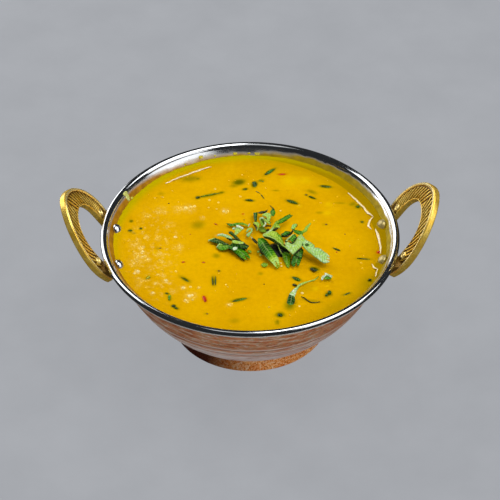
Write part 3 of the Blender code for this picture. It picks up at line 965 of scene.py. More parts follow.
def lug_section(z, shrink):
    """Outline at height z, as (x, y): the jacket's curve inside, the leg's face outside, and the tongue."""
    near = max(skin_radius(min(z, JACKET_TOP_Z), -GAP), skin_radius(z, LINER_OUTSIDE) + 2 * GAP)
    slanted = HANDLE_THICKNESS / math.sin(LEAN)
    face = HANDLE_X + (z - HANDLE_Z) / math.tan(LEAN) + slanted / 2 - shrink
    edge = leg_edge(z) - EDGE_ROUND - shrink
    tongue = near + (PAD_THICKNESS if z < PAD_TOP_Z else LIP_PAD) - shrink
    start = near * math.sin(PAD_FROM) + shrink + max(0.0, z - PAD_TOP_Z) * 4
    turn = [start + (edge - start) * i / 6 for i in range(7)]
    follow = [(math.sqrt(max((near + shrink * 0.3) ** 2 - y * y, 0)), y) for y in turn]
    back = (LUG_INNER_EDGE, (LUG_INNER_EDGE + start) / 2, start)
    reach = [(math.sqrt(max(tongue ** 2 - y * y, 0)), y) for y in back]
    corners = follow + [(face, edge), (face, LUG_INNER_EDGE + shrink)] + reach
    return rounded_outline(corners, LUG_ROUND)


def lug_points():
    """Rings of a foot block from its bottom up, drawn in a little at both ends."""
    rings = []
    for i, z in enumerate(np.linspace(FOOT_BOTTOM_Z + GAP, LUG_TOP_Z, LUG_LEVELS)):
        end = min(i, LUG_LEVELS - 1 - i)
        shrink = LUG_SHRINK[end] if end < len(LUG_SHRINK) else 0.0
        rings.append([(p.x, p.y, z) for p in lug_section(z, shrink)])
    return np.array(rings)


lug = lug_points()
print("a foot block has", lug.shape[0], "levels of", lug.shape[1], "points")

# %% [markdown]
# Brass dulls in its hollows. The carving's own height, kept as an attribute, tells the finish where the
# hollows are. Where the raised border stands highest the finish paints the brass pale, a painted
# highlight, and the foot blocks under the rolled edge carry a painted shade.

# %% Brass finish
def brass_finish():
    material, tree, shader = new_finish("cast_brass", metallic=0.6)
    patina_shade_and_sheen = attribute_of(tree, "patina_shade_and_sheen")
    grime = noise_of(tree, 0.004, detail=5.0)
    grain = noise_of(tree, 0.0004, detail=3.0)
    bright = ramp(tree, grime, [(0.3, srgb(240, 186, 40)), (0.7, srgb(255, 222, 108))])
    # Where the carving stands highest, on the raised border, the brass is painted pale: a painted
    # highlight.
    rubbed = between(tree, patina_shade_and_sheen, -0.5, -1.0, 0.0, 0.6)
    bright = blend_colours(tree, rubbed, bright, srgb(255, 240, 180))
    dull = ramp(tree, grain, [(0.35, srgb(64, 38, 2)), (0.65, srgb(116, 76, 14))])
    # Dark in the carved hollows, and on the foot blocks as a painted shade.
    dark = math_of(tree, "MULTIPLY_ADD", grime, 0.3, math_of(tree, "SUBTRACT", patina_shade_and_sheen, 0.15), clamped=True)
    rough = math_of(tree, "MULTIPLY_ADD", dark, 0.25, between(tree, grime, 0.3, 0.7, 0.20, 0.32))
    height = math_of(tree, "ADD", grain, times(tree, grime, 2.0))
    connect(tree, shader, base_color=blend_colours(tree, dark, bright, dull), roughness=rough,
            normal=bump_of(tree, height, 0.00008, 0.5))
    return material


BRASS = brass_finish()

# %% Handles
# The foot blocks under the rolled edge are painted dark: a painted shade.
BLOCK_PAINTED_SHADE = 0.9


def add_handle(name, side, node):
    rows, columns = grid.shape[:2]
    points = to_handle(grid.reshape(-1, 3), side)
    faces = capped_tube(rows, columns)
    patina_shade_and_sheen = np.clip(-HOLLOW_DARKNESS * (relief.reshape(-1) + HOLLOW_FROM) / FLUTE_DEPTH, -1, 1)
    blocks = [points]
    for way in (1, -1):
        first = sum(len(block) for block in blocks)
        levels, around = lug.shape[:2]
        blocks.append(lug.reshape(-1, 3) * np.array([side, way, 1]))
        faces += capped_tube(levels, around, first)
        patina_shade_and_sheen = np.concatenate([patina_shade_and_sheen, np.full(levels * around, BLOCK_PAINTED_SHADE)])
    mesh = mesh_from(name, np.concatenate(blocks), faces)
    tidy_normals(mesh)
    add_attribute(mesh, "patina_shade_and_sheen", patina_shade_and_sheen)
    dress(mesh, BRASS, "brass", node)


add_handle("handle_right_cast", 1, "handle_right")
add_handle("handle_left_cast", -1, "handle_left")

# %% [markdown]
# ## Rivets
# Two steel rivets hold each handle. Inside the bowl each shows a low dome. The same turning tree makes
# them, and a matrix then lays each one on the wall, with its axis square to the steel.

# %% Rivets
RIVET_Z = 0.0525
RIVET_SIDE = 0.0137
RIVET_MIDDLE_Y = -0.0040
RIVET_SHANK = 0.0011
RIVET_HEAD = 0.0034
RIVET_DOME = 0.0024
RIVET_DEPTH = LINER_INSIDE + GAP + 0.0020
RIVET_FILM = 0.8
RIVET_WET = 0.0008
RIVETS = [(side, sign) for side in (1, -1) for sign in (1, -1)]


def rivet_place(side, sign):
    """Matrix of a rivet: its origin on the wall's inside, and +Z towards the bowl's axis."""
    radius = skin_radius(RIVET_Z, LINER_INSIDE)
    step = 0.0002
    slope = (skin_radius(RIVET_Z + step, LINER_INSIDE) - radius) / step
    sideways = math.asin((RIVET_MIDDLE_Y + RIVET_SIDE * sign) / radius)
    turn = sideways if side > 0 else math.pi - sideways
    lean = math.atan(slope) - math.pi / 2
    return (Matrix.Rotation(turn, 4, "Z") @ Matrix.Translation((radius, 0, RIVET_Z))
            @ Matrix.Rotation(lean, 4, "Y"))


def rivet_profile():
    """A domed head, and a shank that ends in the handle's foot."""
    dome = [(RIVET_HEAD * math.sin(a) ** 0.9, GAP / 2 + RIVET_DOME * math.cos(a) ** 1.15)
            for a in np.linspace(0, math.pi / 2, 18)]
    rim = [(RIVET_HEAD - 0.0001, GAP / 4), (RIVET_SHANK, GAP / 4)]
    return dome + rim + [(RIVET_SHANK, -RIVET_DEPTH), (0.0, -RIVET_DEPTH)]


RIVET_STEEL = steel_finish("rivet_steel", 0.12)
for side, sign in RIVETS:
    end = f"{'right' if side > 0 else 'left'}_{'front' if sign < 0 else 'back'}"
    rivet = turned_shell("rivet_domed_" + end, rivet_profile(), RIVET_STEEL, Steps=40,
                         Dent_Depth=0.00008, Dent_Size=0.0015, Seed=2.0 + side + 0.5 * sign)
    rivet.data.transform(rivet_place(side, sign))
    coated = RIVET_FILM if side > 0 else 0.0
    wet_top = DAL_LEVEL + RIVET_WET
    wet = [max(coated, min(1.0, (wet_top - vertex.co.z) / 0.001)) for vertex in rivet.data.vertices]
    add_attribute(rivet.data, "film", wet)
    finish_piece(rivet, "steel", "rivet_" + end)

# %% [markdown]
# ## Dal
# Dal is a thick liquid that stands level but never quite smooth. It climbs the wall and the rivets a
# little, swells where lentils lie just under the surface, and holds froth where it was stirred. One body
# of points in rings makes it: the top rings carry all that relief, and the last rings follow the wall
# down to the bottom so that the body is closed. What colours the dal, such as froth, herbs sunk below the
# surface and a thin coat at the right edge, is kept as attributes for the finish, and so is a painted
# shade that darkens it towards the edge.

# %% What lies in the dal
# Herbs and specks seen through the surface: x, y, half length and half width in millimetres, the angle in
# degrees, and how dark.
SUNK = [
    (-30, 50, 5, 2.4, 5, 0.4), (-26, 50, 0.9, 0.7, 0, 0.55), (-4.5, 46.5, 3.2, 2.2, 20, 0.75),
    (-7, 43.8, 2.2, 1.4, 10, 0.35), (-1.5, 40.7, 1.2, 0.7, 15, 0.9), (-20, 36, 6.5, 1.1, 16, 0.45),
    (-26, 34.2, 1, 0.9, 30, 1), (-14, 38, 1.6, 0.7, 18, 0.6), (-45, 38, 1.6, 1, 0, 0.22),
    (0.6, 31.3, 2.2, 0.8, -8, 0.8), (-60, 16, 0.8, 0.7, 0, 0.75), (-60.3, 8.5, 1, 0.8, 0, 0.8),
    (-55, 10, 0.7, 0.6, 0, 0.7), (-58.5, 6.5, 0.9, 0.5, 0, 0.35), (-26, 12.5, 3.4, 2.8, 30, 0.36),
    (12, 55, 3.8, 0.9, 46, 0.8), (3.5, 44.5, 1.3, 2.2, -12, 1), (7, 47.5, 1.6, 1, 30, 0.5),
    (40.4, 41.5, 2.8, 0.9, -8, 0.95), (33, 37.3, 2.6, 1.1, -32, 0.42), (33, 32.6, 2, 0.6, -32, 0.75),
    (30, 35, 0.6, 0.6, 0, 0.6), (22.5, 29.5, 3, 1.1, -30, 0.85), (47, 28, 3, 0.5, -4, 0.28),
    (56, 24.8, 1.3, 1.1, 50, 0.9), (53.5, 27, 1.6, 1.2, 40, 0.45), (57.3, 12.5, 0.7, 0.7, 0, 0.75),
    (36, 20.5, 1.6, 0.8, 0, 0.22), (38.5, 11, 1.2, 0.9, 20, 0.22), (14.5, 39, 1.6, 0.4, -5, 0.35),
    (-17, -12, 1.6, 1.6, 80, 0.4), (-32.6, -29.3, 3.2, 1, -42, 0.55), (-32.6, -29.3, 1.9, 0.4, -42, 1),
    (-18.6, -30.8, 1, 3.4, 0, 0.62), (-51, -27.5, 1.5, 0.8, 55, 0.4), (-46, -5.5, 1, 0.6, 20, 0.3),
    (-41.5, -39.6, 0.7, 0.6, 0, 0.8), (-40.2, -42.8, 0.8, 2, 6, 0.5), (-38.2, -48.8, 0.9, 0.9, 0, 1),
    (-37, -50.3, 1.3, 0.8, -30, 0.6), (-6.5, -45, 3.6, 0.9, 14, 0.8), (-16, -23.5, 1, 0.7, 0, 0.3),
    (-22.5, -54.5, 0.8, 0.5, 20, 0.35), (-9, -60, 2.2, 1.6, 0, 0.22), (43, -8.5, 1.9, 0.5, -32, 0.6),
    (56, -16.2, 3.2, 0.5, -5, 0.55), (31.3, -23.2, 2.2, 1.1, -25, 1), (22, -30.5, 2.6, 1.3, -36, 0.6),
    (21, -35, 0.9, 0.5, -30, 1), (18, -49.5, 2.4, 3.6, -8, 0.55), (46, -42.3, 2.3, 0.5, 16, 0.55),
    (13, -56.3, 1.9, 1.7, 0, 0.75), (11.5, -61.5, 0.8, 1.6, 0, 0.5), (4.5, -26, 1, 1, 0, 0.3),
    (58, -32.6, 0.9, 0.9, 0, 1), (37.2, -42, 1.2, 2, -38, 0.6), (29, -46.8, 5, 0.5, -12, 0.35),
    (26, -38, 5.5, 3, 20, 0.14), (57, -34, 6, 4, 60, 0.16), (40, -50, 9, 2.6, 35, 0.13),
]
# Red blots of chilli: x, y, half length, half width and angle.
RED = [
    (18.2, 52.5, 2.4, 0.9, 0), (-33.5, -16.5, 1, 0.6, 0), (63.6, -11.5, 1, 1.2, 0),
    (-17, 12.6, 1.2, 0.4, -40), (-23.2, -43.8, 1.1, 2.4, 12), (-23.5, -17, 0.9, 0.5, 0),
    (-3, 20.5, 0.7, 0.5, 0),
]
# Bright spots: lentils close under the surface.
LENTILS = [
    (40, 20, 2.2), (41, 27, 1.8), (54.5, -19.5, 0.9), (55, -23.5, 0.8), (31, -38, 1.6), (22, 47, 4),
    (30, 47, 3), (26, 26, 1.2), (33, 14, 1.2), (-48, -9, 1), (8, -51, 1.2), (37, -36, 0.8),
]


def blot(x, y, at_x, at_y, long_half, short_half, degrees):
    """How far inside a soft oval each point lies: 1 at its middle, falling away to nothing outside."""
    c, s = math.cos(math.radians(degrees)), math.sin(math.radians(degrees))
    dx, dy = x - at_x * MM, y - at_y * MM
    along = (dx * c + dy * s) / (long_half * MM)
    beside = (dy * c - dx * s) / (short_half * MM)
    return np.exp(-((along ** 2 + beside ** 2) ** 1.3))


def blots(x, y, places):
    """The strongest of many blots at each point. Each place is a blot's numbers and then its strength."""
    strongest = np.zeros(len(x))
    for *oval, strength in places:
        strongest = np.maximum(strongest, strength * blot(x, y, *oval))
    return strongest

# %% Noise over many points
def noise_at(x, y, size, seed, octaves=1):
    """Smooth noise from about -1 to 1 at each point of a flat sheet, with blotches size metres across."""
    total = np.zeros(len(x))
    for octave in range(octaves):
        scale = 2 ** octave / size
        total += np.array([noise.noise(Vector((a, b, seed + 5.0 * octave)))
                           for a, b in zip(x * scale, y * scale)]) / 2 ** octave
    return total

# %% Dal surface
TOP_RINGS = 126
EDGE_RINGS = 26
SPOKES = 400
EDGE_BAND = 0.0070
CLIMB = 0.0004
CLIMB_REACH = 0.0016
RIVET_CLIMB = 0.0005
RIVET_CLIMB_REACH = 0.0013
SWELL = 0.00030
SWELL_SIZE = 0.030
RIPPLE = 0.00007
RIPPLE_SIZE = 0.0065
LENTIL_RISE = 0.00018
FROTH_RISE = 0.00022
RIVET_MIDDLES = [rivet_place(side, sign).translation for side, sign in RIVETS]


def climb(angle):
    """How high the dal climbs the wall at this angle round the bowl."""
    heading = Vector((math.cos(angle), math.sin(angle), 0))
    rough = noise.noise(heading * 6) * 0.00016 + noise.noise(heading * 26) * 0.00018
    return CLIMB + rough


# Patches of froth: x, y and reach in millimetres, and how white each is.
FROTH = [
    (-52, 20, 2, 0.5), (-45, 24, 3, 0.45), (-40, 13, 2.2, 0.5), (-36, 25, 2.8, 0.5), (-58, -2, 2.4, 0.7),
    (-55, -5, 1.6, 0.8), (-54, -8, 1.2, 1), (-57.5, -8, 1, 0.7), (-56, -11, 2.8, 0.6),
    (-52.5, -11.5, 1.5, 0.7), (-51, -14, 1.5, 0.8), (-57, -15.5, 3, 0.6), (-56.2, -23, 1.2, 1),
    (-57.5, -24.5, 0.9, 0.9), (-50, -20, 1.8, 0.5), (-45, -10, 1.7, 0.8), (-55, -30, 2.2, 0.4),
    (-55, -33.5, 1.2, 0.8), (-48.5, -39.3, 1.2, 0.9), (-42.3, -30.3, 1.6, 0.9), (-40, -32, 1.2, 0.6),
    (-36, -5, 2.2, 0.7), (-37.5, 3, 0.9, 1), (-31, 25.5, 3.2, 0.6), (-12, 23, 2.2, 0.6),
    (-30, -41.5, 2.4, 0.9), (-32, -45, 1.4, 0.8), (-11.5, -48.5, 1.3, 0.8), (-33.5, -35.5, 1.6, 0.7),
    (-44, -26, 1.6, 0.5), (-47, -32, 1.4, 0.5), (-52, 4, 1.2, 0.6), (-46, 2, 2, 0.35), (-42, -18, 2, 0.4),
    (-24, 18, 1.4, 0.5), (-38, -38, 1.5, 0.6), (-26, -35.5, 0.9, 0.8), (-3, 20.5, 1, 0.4),
    (-17, 4, 1.2, 0.3),
]


FROTH_MIDDLE = (-0.049, -0.011)
FROTH_SPREAD = (0.013, 0.034)


def froth_cover(x, y):
    """How white the froth is at each point: ragged patches, and a thin scatter between them at the left."""
    patch = blots(x, y, [(at_x, at_y, reach, reach, 0, white) for at_x, at_y, reach, white in FROTH])
    across = (x - FROTH_MIDDLE[0]) / FROTH_SPREAD[0]
    deep = (y - FROTH_MIDDLE[1]) / FROTH_SPREAD[1]
    left = np.exp(-((across ** 2 + deep ** 2) ** 2))
    ragged = noise_at(x, y, 0.0024, 40.0, octaves=3)
    return np.clip(patch * (0.75 + 0.9 * ragged) + left * np.clip(ragged - 0.10, 0, 1) * 0.8, 0, 1)


def dal_height(x, y, from_wall, lift):
    """How far the surface lies above the dal's level: its climb, long swells, ripples and lentils."""
    height = lift * np.exp(-from_wall / CLIMB_REACH)
    for place in RIVET_MIDDLES:
        away = np.hypot(x - place.x, y - place.y) - RIVET_HEAD * 0.8
        height = np.maximum(height, RIVET_CLIMB * np.exp(-np.maximum(away, 0) / RIVET_CLIMB_REACH))
    calm = np.clip(from_wall / 0.004, 0.15, 1)
    height += calm * SWELL * noise_at(x, y, SWELL_SIZE, 1.0)
    height += calm * RIPPLE * noise_at(x, y, RIPPLE_SIZE, 9.0, octaves=2)
    for at_x, at_y, reach in LENTILS:
        height += LENTIL_RISE * blot(x, y, at_x, at_y, reach, reach, 0)
    return height


angles = np.linspace(0, 2 * math.pi, SPOKES, endpoint=False)
lifts = np.array([climb(angle) for angle in angles])
walls = np.array([inner_radius(DAL_LEVEL + lift) + 0.00005 for lift in lifts])
steps_in = np.concatenate([np.linspace(0, 1, TOP_RINGS, endpoint=False)[1:] * (1 - EDGE_BAND / DAL_RADIUS),
                           1 - EDGE_BAND / DAL_RADIUS * np.linspace(1, 0, EDGE_RINGS)])
radii = steps_in[:, None] * walls[None, :]
top_x = (radii * np.cos(angles)).reshape(-1)
top_y = (radii * np.sin(angles)).reshape(-1)
from_wall = (walls[None, :] - radii).reshape(-1)
top_z = DAL_LEVEL + dal_height(top_x, top_y, from_wall, np.tile(lifts, len(steps_in)))
froth = froth_cover(top_x, top_y)
top_z += froth * FROTH_RISE * np.abs(noise_at(top_x, top_y, 0.0016, 60.0))
print("dal top has", len(top_x), "points")

# %% Dal body
WALL_RINGS = 14
SUNK_BLUR = 0.3
EDGE_SHADE_WIDTH = 0.0040
EDGE_SHADE_WIDER_RIGHT = 0.0050
RIM_WIDTH = 0.0010
RIM_WIDER = 0.0018
COAT_BLUR = 0.0007


def dal_points():
    """Centre of the top, the top's rings, the wall's rings down, and the centre of the bottom."""
    middle = top_z[:SPOKES].mean()
    rings = [np.array([[0, 0, middle]]), np.stack([top_x, top_y, top_z], axis=1)]
    low = LINER_FLOOR_Z + GAP
    for part in np.linspace(0, 1, WALL_RINGS + 1)[1:]:
        z = (DAL_LEVEL - 0.0004) * (1 - part) + low * part
        radius = skin_radius(z, LINER_INSIDE + GAP * min(1.0, 4 * part))
        level = np.full(SPOKES, z)
        rings.append(np.stack([radius * np.cos(angles), radius * np.sin(angles), level], axis=1))
    rings.append(np.array([[0, 0, low]]))
    return np.concatenate(rings)


dal_xyz = dal_points()
dal_mesh = mesh_from("dal_food", dal_xyz, domed_faces((len(dal_xyz) - 2) // SPOKES, SPOKES))
all_x, all_y = dal_xyz[:, 0], dal_xyz[:, 1]
herb = blots(all_x, all_y, [(at_x, at_y, long_half + SUNK_BLUR, short_half + SUNK_BLUR, degrees, dark)
                            for at_x, at_y, long_half, short_half, degrees, dark in SUNK])
red = blots(all_x, all_y, [(*place, 1.0) for place in RED])
bright = blots(all_x, all_y, [(at_x, at_y, reach, reach, 0, 1.0) for at_x, at_y, reach in LENTILS])
to_edge = np.clip(DAL_RADIUS - np.hypot(all_x, all_y), 0, 1)
turn = np.arctan2(all_y, all_x)
right, back = np.clip(np.cos(turn + 0.3), 0, 1), np.clip(np.sin(turn), 0, 1)
# Darker olive towards the edge, most at the right and the back: a painted shade.
edge_shade_width = EDGE_SHADE_WIDTH + EDGE_SHADE_WIDER_RIGHT * right + EDGE_SHADE_WIDTH * back
edge_shade_and_coat = np.exp(-to_edge / edge_shade_width) * (0.50 + 0.35 * np.cos(turn) + 0.15 * np.sin(turn))
left_back = np.clip(1.2 * np.cos(turn - math.radians(125)) - 0.05, 0, 1)
rim_width = RIM_WIDTH + RIM_WIDER * left_back
rim = np.exp(-(to_edge / rim_width) ** 2) * left_back
# At the right a thin oily coat lies outside the dal proper: direction in degrees, width in millimetres.
COAT = [
    (-180, 0), (-27, 0), (-19, 3.4), (-13, 1.6), (-7, 1.6), (2, 2.4), (5, 4.6), (11, 5), (15, 2.4),
    (22, 3.4), (35, 4.2), (55, 4), (75, 2.4), (95, 0.8), (110, 0), (180, 0),
]
coat_width = np.interp(np.degrees(turn), [at for at, _ in COAT], [width * MM for _, width in COAT])
coat = np.clip((coat_width - to_edge) / COAT_BLUR + 0.5, 0, 1) * (coat_width > 0)
edge_shade_and_coat = np.maximum(edge_shade_and_coat, coat)
for name, values in (("herb", herb), ("red", red), ("bright", bright), ("edge_shade_and_coat", np.clip(edge_shade_and_coat, 0, 1)),
                     ("rim", np.clip(rim, 0, 1)), ("froth", froth_cover(all_x, all_y))):
    add_attribute(dal_mesh, name, values)

# %% Dal finish
# What the mesh marks on its surface, how strongly it colours the dal, and its colour.
# The olive near the edge is a painted shade, together with the thin coat at the right.
DAL_PARTS = (("bright", 0.6, srgb(242, 200, 0)), ("edge_shade_and_coat", 0.85, srgb(146, 120, 0)),
             ("rim", 0.8, srgb(196, 182, 0)))


def dal_finish():
    material, tree, shader = new_finish("dal_cooked")
    broad = noise_of(tree, 0.020, detail=3.0)
    pulp = noise_of(tree, 0.0022, detail=5.0, roughness=0.6)
    fleck = noise_of(tree, 0.0007, detail=2.0)
    body = ramp(tree, broad, [(0.3, srgb(218, 162, 0)), (0.5, srgb(228, 172, 0)), (0.7, srgb(236, 182, 1))])
    cloud = ramp(tree, pulp, [(0.35, srgb(210, 154, 0)), (0.55, srgb(228, 172, 0)),
                              (0.75, srgb(242, 192, 8))])
    body = blend_colours(tree, 0.30, body, cloud)
    spot = between(tree, fleck, 0.66, 0.74)
    body = blend_colours(tree, times(tree, spot, 0.25), body, srgb(246, 200, 50))
    for name, share, colour in DAL_PARTS:
        body = blend_colours(tree, times(tree, attribute_of(tree, name), share), body, colour)
    cells = cells_of(tree, 1100)
    lather = ramp(tree, cells, [(0.05, srgb(224, 164, 8)), (0.45, srgb(242, 200, 72)),
                                (0.8, srgb(252, 224, 146))])
    froth_part = times(tree, attribute_of(tree, "froth"), between(tree, pulp, 0.30, 0.60, 0.4, 1.1),
                       clamped=True)
    body = blend_colours(tree, times(tree, froth_part, 0.9), body, lather)
    body = blend_colours(tree, attribute_of(tree, "red"), body, srgb(190, 52, 2))
    depth = attribute_of(tree, "herb")
    body = blend_colours(tree, between(tree, depth, 0.0, 0.55), body, srgb(132, 122, 0))
    body = blend_colours(tree, between(tree, depth, 0.5, 1.0), body, srgb(40, 58, 2))
    shader.inputs["IOR"].default_value = 1.38
    shader.inputs["Specular IOR Level"].default_value = 0.05
    wrinkle = mixed_from(tree, pulp, 0.5, fleck, 0.2)
    bubbles = times(tree, cells, attribute_of(tree, "froth"))
    relief = math_of(tree, "MULTIPLY_ADD", bubbles, -0.8, wrinkle)
    connect(tree, shader, base_color=body, roughness=between(tree, pulp, 0.3, 0.7, 0.08, 0.14),
            normal=bump_of(tree, relief, 0.0002, 0.30))
    return material


dress(dal_mesh, dal_finish(), "dal", "dal")

# %% [markdown]
# ## Coriander
# The heap is fresh coriander cut with a knife: strips, folded leaves with notched ends, and short stalks.
# A cut leaf is a thin sheet, so each one here is stretched between its two long edges, given as a few
# points in millimetres, and then arched, crumpled a little and given its thickness. Leaves that lie over
# each other are set at their own heights, so the heap has real gaps and shadows.

# %% Leaf outlines
def strip(tones, blue, lobes, heights, *stations):
    """A leaf from its stations along it: x and y on one long edge, then x and y on the other.

    Heights are those of every station, or of the first and last, with an even slope between them.
    """
    sides = np.array(stations, float).reshape(-1, 4)
    if len(heights) < len(sides):
        heights = np.round(np.linspace(*heights, len(sides)), 1)
    one, two = [np.column_stack([side, heights]) for side in (sides[:, :2], sides[:, 2:])]
    return tones, blue, lobes, one, two
